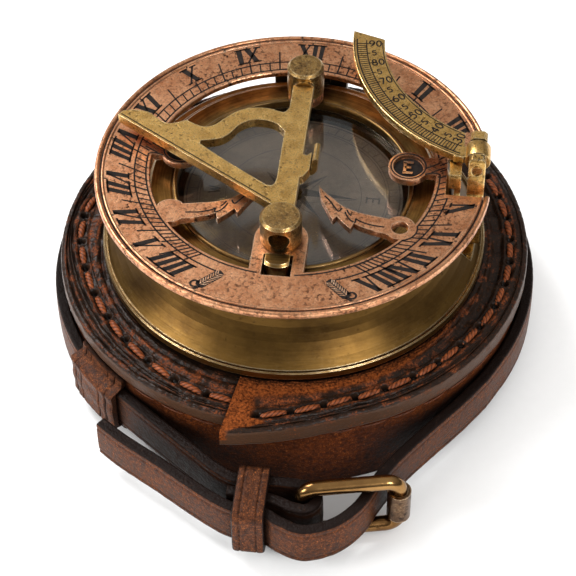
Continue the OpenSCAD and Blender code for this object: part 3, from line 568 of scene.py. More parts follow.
# %% Small finishes
def waxed_thread(name, clean, dirt_and_shade):
    """Thread in two tones, with painted shade between its strands."""
    def build(g):
        colour = g.mix(blotches(g, 900, 0.4, 0.62), clean, dirt_and_shade, 0.7)
        # Painted shade in the valleys between the strands and where little light gets in.
        gaps = g.larger(g.noted("strand_gap"), painted_shade(g, 0.0006, 0.95, 0.9))
        return {"Base Color": g.mix(gaps, colour, (0.015, 0.004, 0.002)), "Roughness": 0.36,
                "Specular IOR Level": 0.2, "Normal": g.bump(g.use(GRAIN, Scale=3000.0), 0.5, 0.0001)}
    return finish(name, build)


def mottled(name, scale, low, high, a, b, rough, strength, depth, specular=0.5):
    """A dull finish that goes from colour a to colour b in blotches, and rises with them."""
    def build(g):
        mask = blotches(g, scale, low, high)
        return {"Base Color": g.mix(mask, a, b), "Roughness": rough, "Specular IOR Level": specular,
                "Normal": g.bump(mask, strength, depth)}
    return finish(name, build)


def build_felt(g):
    """Black wool with a fine nap."""
    nap = g.use(GRAIN, Scale=2200.0)
    return {"Base Color": g.mix(g.spread(nap, 0.2, 0.8), (0.012, 0.011, 0.011), (0.04, 0.036, 0.036)),
            "Roughness": 0.95, "Normal": g.bump(nap, 0.8, 0.0003)}


def build_card(g):
    """Brown aged card with small dark flecks."""
    fleck = blotches(g, 900, 0.5, 0.7, 4.0)
    colour = g.mix(blotches(g, 90, 0.35, 0.68), (0.24, 0.175, 0.125), (0.11, 0.072, 0.048))
    return {"Base Color": g.mix(fleck, colour, (0.08, 0.055, 0.04), 0.4), "Roughness": 0.6,
            "Normal": g.bump(fleck, 0.15, 0.00003)}


def build_glass(g):
    """Clear glass, a little rougher where it is smeared."""
    smear = blotches(g, 60, 0.45, 0.75)
    return {"Base Color": (0.93, 0.95, 0.94), "Roughness": g.spread(smear, 0.0, 1.0, 0.02, 0.09),
            "Metallic": 0.0, "Transmission Weight": 1.0, "IOR": 1.5}


def build_paper(g):
    """White paper with a faint tooth."""
    tooth = g.add("TexNoise", Vector=g.point(), Scale=400.0)
    return {"Base Color": g.mix(tooth, (0.93,) * 3, (0.96,) * 3), "Roughness": 0.9}


thread_finish = waxed_thread("waxed_thread", (0.30, 0.080, 0.025), (0.075, 0.018, 0.006))
seam_finish = waxed_thread("seam_thread", (0.16, 0.045, 0.016), (0.035, 0.012, 0.006))
felt = finish("black_felt", build_felt)
engraving_fill = mottled("engraving_fill", 900, 0.35, 0.65, (0.006, 0.005, 0.005), (0.020, 0.014, 0.011),
                         0.8, 0.3, 0.00005, 0.15)
bowl_lining = mottled("bowl_lining", 500, 0.45, 0.7, (0.03, 0.026, 0.022), (0.08, 0.065, 0.05), 0.7, 0.2, 0.00005)
card_paper = finish("card_paper", build_card)
card_ink = mottled("card_ink", 400, 0.4, 0.7, (0.03, 0.025, 0.025), (0.10, 0.07, 0.05), 0.55, 0.1, 0.00002)
window_finish = finish("window_glass", build_glass)
floor.data.materials.append(finish("white_paper", build_paper))
print("materials:", len(bpy.data.materials))

# %% [markdown]
# ## Materials on the exact parts
# The metal parts keep their own meshes and only get their finish. Some of their edges are rounded
# a little by modifiers: the loose triangles are welded first, so that a bevel can find the edges.

# %% Dress the exact parts
def dress(material, *names, round_by=0.0):
    """Puts one material on named nodes and may round their sharp edges, by so many millimetres."""
    for name in names:
        part = nodes[name]
        part.data.materials.clear()
        part.data.materials.append(material)
        if round_by:
            part.modifiers.new("weld", "WELD").merge_threshold = 0.00001
            bevel = part.modifiers.new("bevel", "BEVEL")
            bevel.width, bevel.segments, bevel.limit_method = round_by * MM, 2, "ANGLE"
            bevel.angle_limit = np.radians(40)


dress(base_brass, "base_dish")
dress(bezel_brass, "bezel_ring", "glass_retainer", "front_catch")
dress(copper, "chapter_ring", round_by=0.12)
dress(antique_brass, "gnomon_plate", "latitude_arc", "arc_bracket", round_by=0.18)
dress(post_brass, "front_post", "rear_post", "gnomon_pivots", "arc_fold_pin")
dress(dark_bronze, "hinge_block", "ring_knuckle", round_by=0.2)
dress(bezel_brass, "hinge_pin", "hinge_screws", "bracket_screws", "post_screws", "card_cap")
dress(buckle_bronze, "buckle_frame")
dress(roller_bronze, "buckle_roller")
dress(plain_steel, "pivot_pin", "card_magnet")
dress(bowl_lining, "card_liner")
dress(card_paper, "compass_card")
dress(window_finish, "window_glass")
dress(felt, "case_pad")
dress(wall_leather, "case_floor", "case_wall")
print("dressed:", len(nodes), "nodes")

# %% [markdown]
# ## The leather rim
# The rim is a padded collar of two halves. Its top is tooled with round grooves and carries a
# line of thread. At the front the right half lies over the left one and ends in a cut edge that
# swings out from the case; there the soft raw side of the leather shows. The rim's outline is
# carried round the case as a grid. Each groove is a bell curve taken off the height, each stitch
# hole a small pit, and a ripple is added to every point, because leather isn't perfect. Two
# numbers per point, how much the dye is rubbed off and how raw the leather is, go to the material.

# %% Rim halves
RIM_ROWS, TOP_COLUMNS = 640, 100
LAP_TURN, LAP_OUT = 31.0, 6.0
LEFT_HOLES = 254.2 - 9.65 * np.arange(17)
RIGHT_HOLES = 267.6 + 8.15 * np.arange(22)
EDGE_R = 59.8
# Rings of the top: amount, radius, half width, the bell's power, and how much the plain stretch loses
GROOVES = ((0.55, THREAD_R, 1.35, 4, 0), (0.55, 50.4, 0.4, 2, 0.6), (0.35, 52.35, 0.28, 2, 0),
           (0.45, 56.6, 0.3, 2, 0.85), (0.3, 57.7, 0.22, 2, 0.85), (0.6, 59.15, 0.26, 2, 0.6),
           (-0.22, 51.3, 0.45, 2, 1), (-0.15, 58.45, 0.25, 2, 0))
RUBBED = ((0.30, 51.8, 1.2, 2, 1.6), (0.25, 58.45, 0.5, 2, 1), (0.3, 55.7, 0.5, 2, 0),
          (-0.2, 57.2, 0.5, 2, 0), (-0.1, THREAD_R, 1.0, 4, 0))


def rings(r, table, plain):
    """The sum of a table's bells at a radius, each made weaker where the leather is plain."""
    return sum(amount * bell(r, at, width, power) * (1 - loss * plain) for amount, at, width, power, loss in table)


def lap_swing(angles):
    """How far the lap's free end stands out: nothing where it leaves the circle, most at its cut."""
    return LAP_OUT * np.clip((LAP_ANGLE + LAP_TURN - angles) / LAP_TURN, 0, 1) ** 1.5


def seam_wander(angles):
    """How far the hand-sewn line of stitches strays outward at an angle: it is never quite round."""
    left = 2.0 * bell(angles, 178, 16) - 0.3 * bell(angles, 214, 10) + 1.5 * ramp(angles, 226, 254)
    right = ramp(angles, 255, 268) * (1.5 + 0.6 * ramp(angles, 320, 345)) * (1 - ramp(angles, 400, 440))
    return np.where(angles < LAP_ANGLE, left, right)


def rim_profile(top):
    """Radius and height of the rim's outline, from the inner lower edge over the top and down again."""
    turn = np.radians(np.linspace(12, 90, 8))
    low = CASE_TOP + 0.06
    r = np.concatenate([[45.35, 45.5], np.linspace(45.9, EDGE_R, TOP_COLUMNS), EDGE_R + 1.2 * np.sin(turn),
                        np.full(12, 61.0), [60.9, 60.5, 59.8, 57.5, 50.0, 46.0]])
    z = np.concatenate([[RIM_TOP - 2.6, RIM_TOP - 1.0], np.full(TOP_COLUMNS, top), top - 1.2 * (1 - np.cos(turn)),
                        np.linspace(top - 1.5, low + 0.7, 12), [low + 0.3, low + 0.1, low, low, low, low + 0.25]])
    return r, z


def raw_places(r, angles):
    """1 where the lap shows its raw side: at the cut end, and inside the stitches."""
    wander = ripple(r, angles * 0.9, 0 * r, 2.0, 31)
    inner = 51.6 - 1.9 * np.clip((angles - 298) / 36, 0, 1)
    reach = 5.6 + 3.6 * bell(r, 56.8, 1.5) - 4.6 * np.clip((r - 58.6) / 1.8, 0, 1)
    near_cut = soft_step(reach - (angles - LAP_ANGLE) + 0.9 * wander, 0.22)
    within = soft_step(inner - r + 0.3 * wander, 0.12)
    return np.maximum(near_cut, within * np.clip((340 - angles) / 8, 0, 1))


def rim_half(name, start, stop, top, holes, lap):
    """The rim's outline carried from one angle to another, tooled and pierced, as a closed solid."""
    r, z = rim_profile(top)
    angles = np.broadcast_to(np.linspace(start, stop, RIM_ROWS)[:, None], (RIM_ROWS, len(r)))
    r, z = np.broadcast_to(r, angles.shape), np.broadcast_to(z, angles.shape)
    on_top, bed = (z > top - 0.6) & (r > 46), r
    raw = raw_places(r, angles) * (z > top - 3) if lap else np.zeros(r.shape)
    plain = ramp(angles, 300, 335) if lap else 0
    tooling = rings(r, GROOVES, plain) + plain * bell(r, 51.9, 0.75, 4)
    turn = angles[:, :, None] - holes
    away = np.hypot(np.radians(turn) * THREAD_R, (r - THREAD_R)[:, :, None]).min(-1)
    pits = 1.15 * bell(away, 0, 0.85, 4) - 0.32 * bell(away, 1.35, 0.4)
    rough = 0.20 * ripple(r, angles, z, 6.0, 1) + 0.22 * ripple(r, angles * 0.9, z, 1.7, 2)
    fine = 0.14 * ripple(r * 1.3, angles * 0.9, z, 0.75, 4)
    relief = tooling * (1 + 1.3 * ripple(r, angles, z, 6.0, 5)) * (1 - raw) + pits - 0.1
    z = z + on_top * (rough + fine * (0.9 + raw) - relief)
    r = r + (~on_top & (r > 59)) * (0.10 * ripple(r, angles, z, 5.0, 3) - 0.08)
    wander = seam_wander(angles) * ramp(r, 50.2, 53.2) * (1 - ramp(r, 56.5, 60.0)) * on_top
    r = r + wander + (lap_swing(angles) * ramp(r, 50.2, 53.2) if lap else 0)
    room = RIM_TOP - 0.06 + (top - RIM_TOP + 0.06) * np.clip((r - 47.7) / 1.0, 0, 1)
    z = np.where(r < 48.8, np.minimum(z, room), z)
    piece = mesh_piece(name, polar(r, angles, z), tube_faces(RIM_ROWS, r.shape[1], flip=True), sharp=60)
    patch = 0.5 * ripple(r, angles * 0.9, 0 * r, 3.5, 6)
    tell(piece, "rubbed", 0.32 + patch + rings(bed, RUBBED, plain) + 0.3 * plain * bell(bed, 50.6, 0.5)
         - 0.5 * bell(away, 0, 1.1, 4))
    tell(piece, "raw", raw)
    return piece


rim_left = rim_half("rim_left_leather", SEAM_ANGLE, LAP_ANGLE, RIM_TOP, LEFT_HOLES, False)
rim_right = rim_half("rim_right_leather", LAP_ANGLE, SEAM_ANGLE + 360, RIM_TOP + LAP_RISE, RIGHT_HOLES, True)
settle(rim_left, rim_leather, "case", "rim_left")
settle(rim_right, rim_leather, "case", "rim_right")
print("rim points:", len(rim_left.data.vertices) + len(rim_right.data.vertices))

# %% [markdown]
# ## The stitches
# Each stitch is a short piece of waxed rope that comes up out of one hole, arches over the leather
# and goes down into the next. Three strands wind round it, so its radius rises and falls three
# times on the way round, and that pattern turns as it goes along. Between two strands the radius
# drops into a narrow valley, and a number at each point tells the material how deep it lies there,
# so that it paints shade in the valley. All stitches are computed as one array with a row for each
# stitch.

# %% Twisted thread
ROPE_ROWS, ROPE_SIDES, TWIST = 41, 18, 1.35
RIM_STITCH, STITCH_LIFT, STITCH_LEAN = 6.3, -0.12, 0.04


def rope_grid():
    """Two coordinates of a stitch: -1 to 1 from end to end, and the angle round it."""
    return np.linspace(-1, 1, ROPE_ROWS)[:, None], np.linspace(0, 2 * np.pi, ROPE_SIDES + 1)[None, :-1]


def rope_gaps(length):
    """1 in the valley between two strands and 0 on a strand, for each point of one stitch."""
    u, phase = rope_grid()
    return (1 - np.abs(np.cos(1.5 * phase - np.pi * u * length / 2 / TWIST))) ** 2


def rope_stitches(angles, radius, height, length, thick, lean=0.0, upright=False):
    """Rope surfaces as (stitches, 41, 18, 3); lean is the slope of each stitch away from its circle."""
    u, phase = rope_grid()
    arch = np.sqrt(np.clip(1 - u ** 2, 0, 1))
    strand = thick * (0.45 + 0.55 * arch) * (1.08 - 0.30 * rope_gaps(length))
    along = (u * length / 2 + 0 * phase)[None]
    across = (strand * np.cos(phase))[None]
    lift = (0.8 * strand * np.sin(phase) + (arch - 1) * thick * 0.9)[None]
    a, radius, lean = (v[:, None, None] for v in np.broadcast_arrays(np.radians(angles), radius, lean))
    out, lift = (lift, -across) if upright else (across + along * lean, lift + 0 * lean)
    bend = radius + out - along ** 2 / (2 * radius)
    x, y = bend * np.cos(a) - along * np.sin(a), bend * np.sin(a) + along * np.cos(a)
    return np.stack(np.broadcast_arrays(x, y, lift + height), -1)


def stitched_line(name, stitches, length, material, node=None):
    """One piece from many stitches, with the depth between the strands written on its points."""
    points, faces = many(stitches)
    piece = mesh_piece(name, points, faces, sharp=80)
    tell(piece, "strand_gap", np.tile(rope_gaps(length).ravel(), len(stitches)))
    print(name, "has", len(stitches), "stitches and about", len(faces) * 2, "triangles")
    return settle(piece, material, "case", node)


def between(holes):
    """The middle of each gap between holes that stand in order."""
    holes = np.sort(holes)
    return (holes[1:] + holes[:-1]) / 2


def stray(angles):
    """How far the stitches stand out from their circle at each angle."""
    return seam_wander(angles) + lap_swing(angles) * (angles >= LAP_ANGLE)


def slope(angles):
    """How fast that distance grows along the circle, in mm for each mm."""
    return (stray(angles + 1) - stray(angles - 1)) / (np.radians(2) * THREAD_R)


def rim_row(at, top, thick, lean):
    """A row of stitches at some angles, which follows the seam's stray line."""
    return rope_stitches(at, THREAD_R + stray(at), top + STITCH_LIFT, RIM_STITCH, thick, slope(at) + lean)


rim_stitches = np.concatenate([
    rim_row(np.append(between(LEFT_HOLES), 258.0), RIM_TOP, 0.80, STITCH_LEAN),
    rim_row(between(RIGHT_HOLES), RIM_TOP + LAP_RISE, 0.76, -STITCH_LEAN)])
stitched_line("rim_thread_stitches", rim_stitches, RIM_STITCH, thread_finish, "rim_thread")

# %% [markdown]
# ## The case wall's seam
# Just under the rim a finer line of thread holds the wall to it. It is the same stitch, made
# smaller and lying on the wall instead of on the top. It stops at the belt loop on the left.

# %% Wall stitches
WALL_STITCH, WALL_STEP, LOOP_CLEAR = 6.4, 8.15, 10
wall_at = np.arange(2.0, 360.0, WALL_STEP)
from_loop = (wall_at - LOOP_AT[0] - LOOP_TURN / 2 + 180) % 360 - 180
wall_at = wall_at[np.abs(from_loop) > LOOP_CLEAR]
wall_stitches = rope_stitches(wall_at, CASE_R + 0.1, CASE_TOP - 1.5, WALL_STITCH, 0.26, upright=True)
stitched_line("wall_stitches", wall_stitches, WALL_STITCH, seam_finish)

# %% [markdown]
# ## The strap
# The strap is one long band. Its line on the table is a curve through listed points, the same
# as the solid strap follows: folded round the buckle's bar, once round the case, then out through
# the buckle, round its bar and back to the tip. A rounded rectangle is carried along it. The two
# creases near its edges are part of that rectangle, and the black, burnished edge is a second
# material on the faces that look up and down.

# %% Strap
LEFT_BAR = np.array([10.5, -75.5])
STRAP_STEP = 0.9
FACE_POINTS, CORNER_POINTS, EDGE_POINTS = 33, 3, 7
SKIN, CORNER = 0.18, 0.55


def smooth_line(points, n=8):
    """A smooth curve through points: each stretch blends four neighbours with cubic weights."""
    p = np.asarray(points, float)
    p = np.concatenate([p[:1], p, p[-1:]])
    t = np.linspace(0, 1, n, endpoint=False)[None, :, None]
    a, b, c, d = (p[k:len(p) - 3 + k, None, :] for k in range(4))
    curve = 0.5 * (2 * b + (c - a) * t + (2 * a - 5 * b + 4 * c - d) * t ** 2 + (3 * b - a - 3 * c + d) * t ** 3)
    return np.concatenate([curve.reshape(-1, p.shape[1]), p[-1:]])


def even_steps(line, step):
    """The same line with points at equal distances along it."""
    gaps = np.linalg.norm(np.diff(line, axis=0), axis=1)
    line = line[np.concatenate([[True], gaps > 1e-6])]
    along = np.concatenate([[0], np.cumsum(np.linalg.norm(np.diff(line, axis=0), axis=1))])
    at = np.linspace(0, along[-1], int(along[-1] / step) + 1)
    return np.stack([np.interp(at, along, line[:, k]) for k in range(line.shape[1])], -1)


# The strap leaves the wall: angle, and distance out from it
LEAVING = ((-33.2, 2.1), (-42.7, 2.8), (-51.7, 4.5), (-59.5, 7.6), (-64.7, 11))
TAIL = [[27.4, -69.6], [24.4, -76.2], [19.2, -82], [12, -85], [6, -83.3], [2.4, -81.2], [-1.6, -80.7], [-6, -80.1],
        [-10.5, -78.1], [-17, -74.2], [-26, -68.4], [-35.5, -62.6], [-41.5, -58.2]]
strap_line = even_steps(np.concatenate([
    smooth_line([[-7.6, -75.5], [-1, -75.9], [4.5, -77.2], [8, -78.6]], 3),
    arc_line(LEFT_BAR, 2.05 + STRAP_T / 2, -80, 90, 13),
    smooth_line([[5, -71.6], [-2, -71.7], [-6.8, -71.5], [-11.5, -69]], 3),
    arc_line([0, 0], CASE_R + 0.1 + STRAP_T / 2, 234, -28, 91),
    smooth_line([polar(CASE_R + out, angle) for angle, out in LEAVING] + TAIL)]), STRAP_STEP)


def band_profile(width, thick):
    """A rounded rectangle, as offsets across the band and up; its long sides are crowned and creased."""
    up = np.linspace(-1, 1, FACE_POINTS) * (width / 2 - CORNER)
    crown = 0.16 * (1 - (up / (width / 2)) ** 2)
    side = thick / 2 - SKIN + crown - 0.22 * bell(np.abs(up), width / 2 - 1.7, 0.28)
    turn = np.radians(np.linspace(0, 90, CORNER_POINTS + 2)[1:-1])
    end_out, end_up = thick / 2 - SKIN - CORNER * (1 - np.cos(turn)), width / 2 - CORNER + CORNER * np.sin(turn)
    flat, edge = np.linspace(1, -1, EDGE_POINTS) * (thick / 2 - 0.75), np.full(EDGE_POINTS, width / 2)
    out = np.concatenate([side, end_out, flat, -end_out[::-1], -side[::-1], -end_out, -flat, end_out[::-1]])
    high = np.concatenate([up, end_up, edge, end_up[::-1], up[::-1], -end_up, -edge, -end_up[::-1]])
    return out, high


def carry_band(line, centre_z, width, thick):
    """The band's outline carried along a line on the table, drawn in by a ripple; out is to the line's right."""
    normal = right_of(line)
    out, high = band_profile(width, thick)
    x, y = set_off(line, normal, out)
    z = np.broadcast_to(centre_z + high, x.shape)
    wave = 0.10 * ripple(x, y, z, 2.2, 5) + 0.05 * ripple(x, y, z, 0.9, 6)
    pull = 1 - (0.1 + wave) * 0.35 / (thick / 2)
    x, y = set_off(line, normal, out * pull)
    return np.stack([x, y, centre_z + high * (1 - (0.08 + 0.8 * wave) / (width / 2))], -1)


def two_tone(piece, rows, columns, edge_columns, edge_material):
    """Gives the faces between some columns of a tube's grid a second material."""
    piece.data.materials.append(edge_material)
    index = np.zeros(len(piece.data.polygons), np.int32)
    column = np.tile(np.arange(columns), rows)
    index[:len(column)] = np.isin(column, edge_columns)
    piece.data.polygons.foreach_set("material_index", index)


strap_points = carry_band(strap_line, STRAP_Z, STRAP_W, STRAP_T)
strap_rows, strap_columns = strap_points.shape[:2]
strap = mesh_piece("strap_band", strap_points, tube_faces(strap_rows, strap_columns), sharp=60)
settle(strap, strap_leather, "case", "strap")
half_round = strap_columns // 2
edge_columns = np.r_[FACE_POINTS - 2:half_round - 1, half_round + FACE_POINTS - 1:strap_columns]
two_tone(strap, strap_rows - 1, strap_columns, edge_columns, edge_leather)
print("strap length:", round(float(np.linalg.norm(np.diff(strap_line, axis=0), axis=1).sum())), "mm")

# %% [markdown]
# ## Keeper and belt loops
# The keeper is a narrow loop that holds the strap's layers together. It is a band carried along a
# rounded rectangle that stands upright, with two stitched creases and dark cut edges. The belt
# loops are sewn flat to the wall above and below the strap, and have double seams at their sides.

# %% Keeper and belt loops
KEEPER_AT, KEEPER_X, KEEPER_HALF_W, KEEPER_HALF_T = [-76.5, STRAP_Z], -1.6, 3.9, 0.72
BAND_POINTS = 61
LOOP_ROWS, LOOP_T, LOOP_HALF_H = 97, 1.75, 9.35


def upright_loop(centre, half_depth, half_height, bend):
    """A rounded rectangle in depth and height, as a closed line of points."""
    deep, high = half_depth - bend, half_height - bend
    corners = (deep, high), (-deep, high), (-deep, -high), (deep, -high)
    return np.concatenate([arc_line(at, bend, 90 * k, 90 * k + 90, 12) for k, at in enumerate(corners)]) + centre


def keeper_loop():
    """The keeper's outline of 8 by 1.5 mm carried round its upright line; closed in both directions."""
    line = upright_loop(KEEPER_AT, 7.5, 7.1, 1.6)
    line = even_steps(np.concatenate([line, line[:1]]), 0.6)[:-1]
    normal = right_of(line, closed=True)
    u = np.linspace(-1, 1, BAND_POINTS)
    dents = 0.26 + 0.14 * np.sin(np.arange(len(line)) * 2.1)[:, None]
    out_side = KEEPER_HALF_T - 0.45 * np.abs(u) ** 14 - dents * bell(np.abs(u), 0.52, 0.055)
    out = np.concatenate([out_side, np.full(out_side.shape, -KEEPER_HALF_T)], axis=1)
    y, z = set_off(line, normal, out)
    x = np.broadcast_to(np.concatenate([u, u[::-1]]) * KEEPER_HALF_W + KEEPER_X, y.shape)
    lump = (0.12 * ripple(x, y, z, 2.5, 11) + 0.06 * ripple(x, y, z, 0.8, 12)) * (out > 0)
    return np.stack([x, y + normal[:, None, 0] * lump, z + normal[:, None, 1] * lump], -1)


keeper_points = keeper_loop()
keeper_rows, keeper_columns = keeper_points.shape[:2]
keeper = mesh_piece("keeper_leather", keeper_points, grid_faces(keeper_rows, keeper_columns, True, True), sharp=50)
settle(keeper, strap_leather, "case", "keeper")
two_tone(keeper, keeper_rows, keeper_columns,
         np.r_[0:2, BAND_POINTS - 3:BAND_POINTS + 1, keeper_columns - 3:keeper_columns], edge_leather)


def belt_loop(angle):
    """A sewn band of 16 degrees: flat on the wall at its ends, arched over the strap between them."""
    u = np.linspace(-1, 1, BAND_POINTS)
    rise = STRAP_T + 0.45
    cover = rise * soft_step(6.75 - np.abs(u * 9.6), 0.22)
    outer = CASE_R + LOOP_T + cover + 0.12 * np.cos(u * 9)
    across = np.linspace(0, LOOP_TURN, LOOP_ROWS)[:, None]
    r = np.tile(np.concatenate([outer, (CASE_R + 0.02 + cover)[::-1]]), (LOOP_ROWS, 1))
    height = np.broadcast_to(STRAP_Z + np.concatenate([u, u[::-1]]) * LOOP_HALF_H, r.shape)
    edge = np.minimum(across, LOOP_TURN - across)
    line = (0.45 * bell(edge, 2.2, 0.22) + 0.30 * bell(edge, 4.6, 0.20) - 0.10 * bell(edge, 2.9, 0.4)
            + 0.25 * bell(edge, 0, 0.4))
    x, y = np.moveaxis(polar(r, angle + across), -1, 0)
    outside = r[:, :BAND_POINTS] + (0.12 * ripple(x, y, height, 3.0, 21) - line)[:, :BAND_POINTS]
    r[:, :BAND_POINTS] = np.minimum(outside, CASE_R + LOOP_T + rise + 0.12)
    return polar(r, angle + across, height)


loop_points, loop_faces = many(np.stack([belt_loop(a) for a in LOOP_AT]))
belt_loops = mesh_piece("belt_loop_leather", loop_points, loop_faces, sharp=50)
settle(belt_loops, strap_leather, "case", "belt_loops")
print("keeper and belt loops:", len(keeper.data.polygons) + len(belt_loops.data.polygons), "faces")

# %% [markdown]
# ## Engraved lines
# The dial's figures are cut into the metal and filled with black. Each stroke here is a thin
# closed strip that stands a few hundredths of a millimetre proud of the metal, which reads as ink
# in a groove. One helper turns a line into such a strip, another turns four corners into a flat
# block, and a third joins many of them into one mesh.

# %% Helpers for strokes
STROKE_DEPTH, PROUD = 0.1, 0.03
INK = RING_TOP + PROUD


def ribbon(line, width, top=INK, closed=False):
    """A strip of one width along a line of (x, y) points, as points and faces; its top is at a height."""
    line = np.asarray(line, float)
    side = right_of(line, closed) * width / 2
    edges = ((line - side, top - STROKE_DEPTH), (line + side, top - STROKE_DEPTH), (line + side, top),
             (line - side, top))
    grid = np.stack([np.column_stack([edge, np.full(len(line), z)]) for edge, z in edges], 1)
    return grid.reshape(-1, 3), grid_faces(len(line), 4, True, True) if closed else tube_faces(len(line), 4)


def blocks(corners, top=INK, depth=STROKE_DEPTH):
    """Flat closed blocks; corners is (count, 4, 2) and each four may run either way round."""
    corners = np.asarray(corners, float)
    x, y = corners[..., 0], corners[..., 1]
    area = (x * np.roll(y, -1, 1) - y * np.roll(x, -1, 1)).sum(1)
    corners[area < 0] = corners[area < 0][:, ::-1]
    low, high = (np.concatenate([corners, np.full(corners.shape[:2] + (1,), z)], -1) for z in (top - depth, top))
    sides = np.array([[3, 2, 1, 0], [4, 5, 6, 7], [0, 1, 5, 4], [1, 2, 6, 5], [2, 3, 7, 6], [3, 0, 4, 7]])
    faces = (sides[None] + 8 * np.arange(len(corners))[:, None, None]).reshape(-1, 4).tolist()
    return np.stack([low, high], 1).reshape(-1, 3), faces


def inlay(name, parts, material, body):
    """One flat-shaded piece made from many strokes, which rides with a body."""
    starts = np.cumsum([0] + [len(points) for points, _ in parts])
    faces = [[corner + int(start) for corner in face] for (_, some), start in zip(parts, starts) for face in some]
    points = np.concatenate([points for points, _ in parts])
    return settle(mesh_piece(name, points, faces, smooth=False), material, body)


def circle(centre, radius, width, top=INK):
    """A closed ring of one width in steps of 7.5 degrees."""
    return ribbon(arc_line(centre, radius, 0, 360, 49)[:-1], width, top, closed=True)

# %% [markdown]
# ## The hour figures
# The hour lines don't meet in the ring's middle. They fan out, one every fifteen degrees, from a
# point near the front post, so the figures lean more and more towards the front of the dial. One
# formula gives the place where an hour's line crosses any circle, and every figure and tick below
# is drawn with it. The figures' tops point to the middle, apart from XII, which reads upright.

# %% Hour ring engraving
FAN_Y, HOUR_TURN, FIGURE_MIDDLE_R = -21.4, 15.0, 43.6
BORDER_R, LADDER_R, FIGURE_R = 48.5, (37.0, 39.9), (47.0, 41.1)
HOUR_TICK, HALF_HOUR_TICK, BORDER_TICK = 41.0, 44.0, 47.0
LINE, RUNG = 0.42, 0.36
PAD_AT, PAD_R = np.array([28.4, -18.3]), 4.3
NOTCH_X, NOTCH_Y = 38.6, (-6.0, 9.0)


def hour_point(hour, radius, shift=0.0):
    """Where an hour's line crosses a circle, shifted sideways along the circle by some millimetres."""
    way = np.radians(HOUR_TURN * hour)
    along = -FAN_Y * np.cos(way)
    reach = along + np.sqrt(along ** 2 - FAN_Y ** 2 + np.asarray(radius, float) ** 2)
    angle = np.arctan2(FAN_Y + reach * np.cos(way), reach * np.sin(way)) + shift / FIGURE_MIDDLE_R
    return np.stack(np.broadcast_arrays(radius * np.cos(angle), radius * np.sin(angle)), -1)


# Each letter: its width, then strokes as (foot, head, thickness, low, high) across and up the letter
LETTERS = {
    "I": (2.2, [(1.1, 1.1, 1.4, 0, 1), (1.1, 1.1, 2.45, 0, 0.08), (1.1, 1.1, 2.45, 0.92, 1)]),
    "V": (4.5, [(2.4, 1.0, 1.45, 0, 1), (2.5, 3.9, 0.6, 0, 1), (1.0, 1.0, 2.4, 0.92, 1), (3.8, 3.8, 1.8, 0.92, 1)]),
    "X": (4.4, [(3.5, 1.0, 1.45, 0, 1), (0.75, 3.7, 0.6, 0, 1), (1.0, 1.0, 2.4, 0.92, 1), (3.7, 3.7, 1.7, 0.92, 1),
                (0.8, 0.8, 1.8, 0, 0.08), (3.5, 3.5, 2.3, 0, 0.08)])}


def hour_figure(figure, hour, squeeze=1.0, upright=False):
    """The corners of a Roman figure's strokes, drawn along its hour line."""
    start, corners = -sum(LETTERS[letter][0] for letter in figure) * squeeze / 2, []
    foot_r, head_r = FIGURE_R[::-1] if upright else FIGURE_R
    hand = -1 if upright else 1
    for letter in figure:
        width, strokes = LETTERS[letter]
        for foot, head, thick, low, high in strokes:
            for height, sides in ((low, (-1, 1)), (high, (1, -1))):
                radius = foot_r + (head_r - foot_r) * height
                at = foot + (head - foot) * height
                corners += [hour_point(hour, radius, hand * (start + (at + side * thick / 2) * squeeze))
                            for side in sides]
        start += width * squeeze
    return np.array(corners).reshape(-1, 4, 2)


FIGURES = "IIII V VI VII VIII IX X XI XII I II III - V VI VII VIII".split()
SQUEEZE = {"XII": 0.80, "VIII": 0.95}
numerals = [blocks(hour_figure(figure, hour, SQUEEZE.get(figure, 1.0), figure == "XII"))
            for hour, figure in enumerate(FIGURES, -8) if figure != "-"]


def in_notch(point):
    """Whether a point lies in the ring's notch for the arc's bracket."""
    return point[0] > NOTCH_X and NOTCH_Y[0] < point[1] < NOTCH_Y[1]


def on_pad(point):
    """Whether a point lies on the east pad."""
    return np.hypot(*(point - PAD_AT)) < PAD_R


ticks = []
for sixth in range(-48, 49):
    hour, foot = sixth / 6, LADDER_R[0]
    reach = {0: HOUR_TICK, 3: HALF_HOUR_TICK}.get(sixth % 6, LADDER_R[1])
    while in_notch(hour_point(hour, reach)) and reach > foot + 0.2:
        reach -= 0.1
    while on_pad(hour_point(hour, foot)):
        foot += 0.1
    ticks.append(ribbon([hour_point(hour, foot), hour_point(hour, reach)], RUNG if sixth % 3 else LINE))
    if sixth % 6 == 0 and sixth != 24:
        ticks.append(ribbon([hour_point(hour, BORDER_TICK), hour_point(hour, BORDER_R)], RUNG))
# Stretches of the ring's circles: radius, from and to in degrees
STRETCHES = ((BORDER_R, 12, 352), (LADDER_R[1], 14, 249), (LADDER_R[1], 291, 350), (LADDER_R[0], 277, 322.7),
             (LADDER_R[0], 332, 361.5), (LADDER_R[0], 11, 169), (LADDER_R[0], 178.5, 263))
lines = [ribbon(arc_line([0, 0], radius, start, stop, int((stop - start) / 2)), LINE)
         for radius, start, stop in STRETCHES]
lines.append(ribbon(arc_line(PAD_AT, PAD_R, -80, 14, 25), LINE))
corner = smooth_line([[37.0, 0.6], [36.8, 1.2], [35.2, 1.5], [33.2, 0.9]], 4)
for mirror in ([1, 1], [-1, 1]):
    lines += [ribbon(line * np.array(mirror), width) for line, width in
              ((corner, LINE), ([[34.8, 1.7], [38.2, 3.7]], RUNG), ([[33.3, 3.0], [36.6, 5.1]], RUNG))]
ring_ink = inlay("hour_engraving", numerals + ticks + lines, engraving_fill, "dial")
print("hour figures:", len(numerals), "ticks:", len(ticks), "faces:", len(ring_ink.data.polygons))

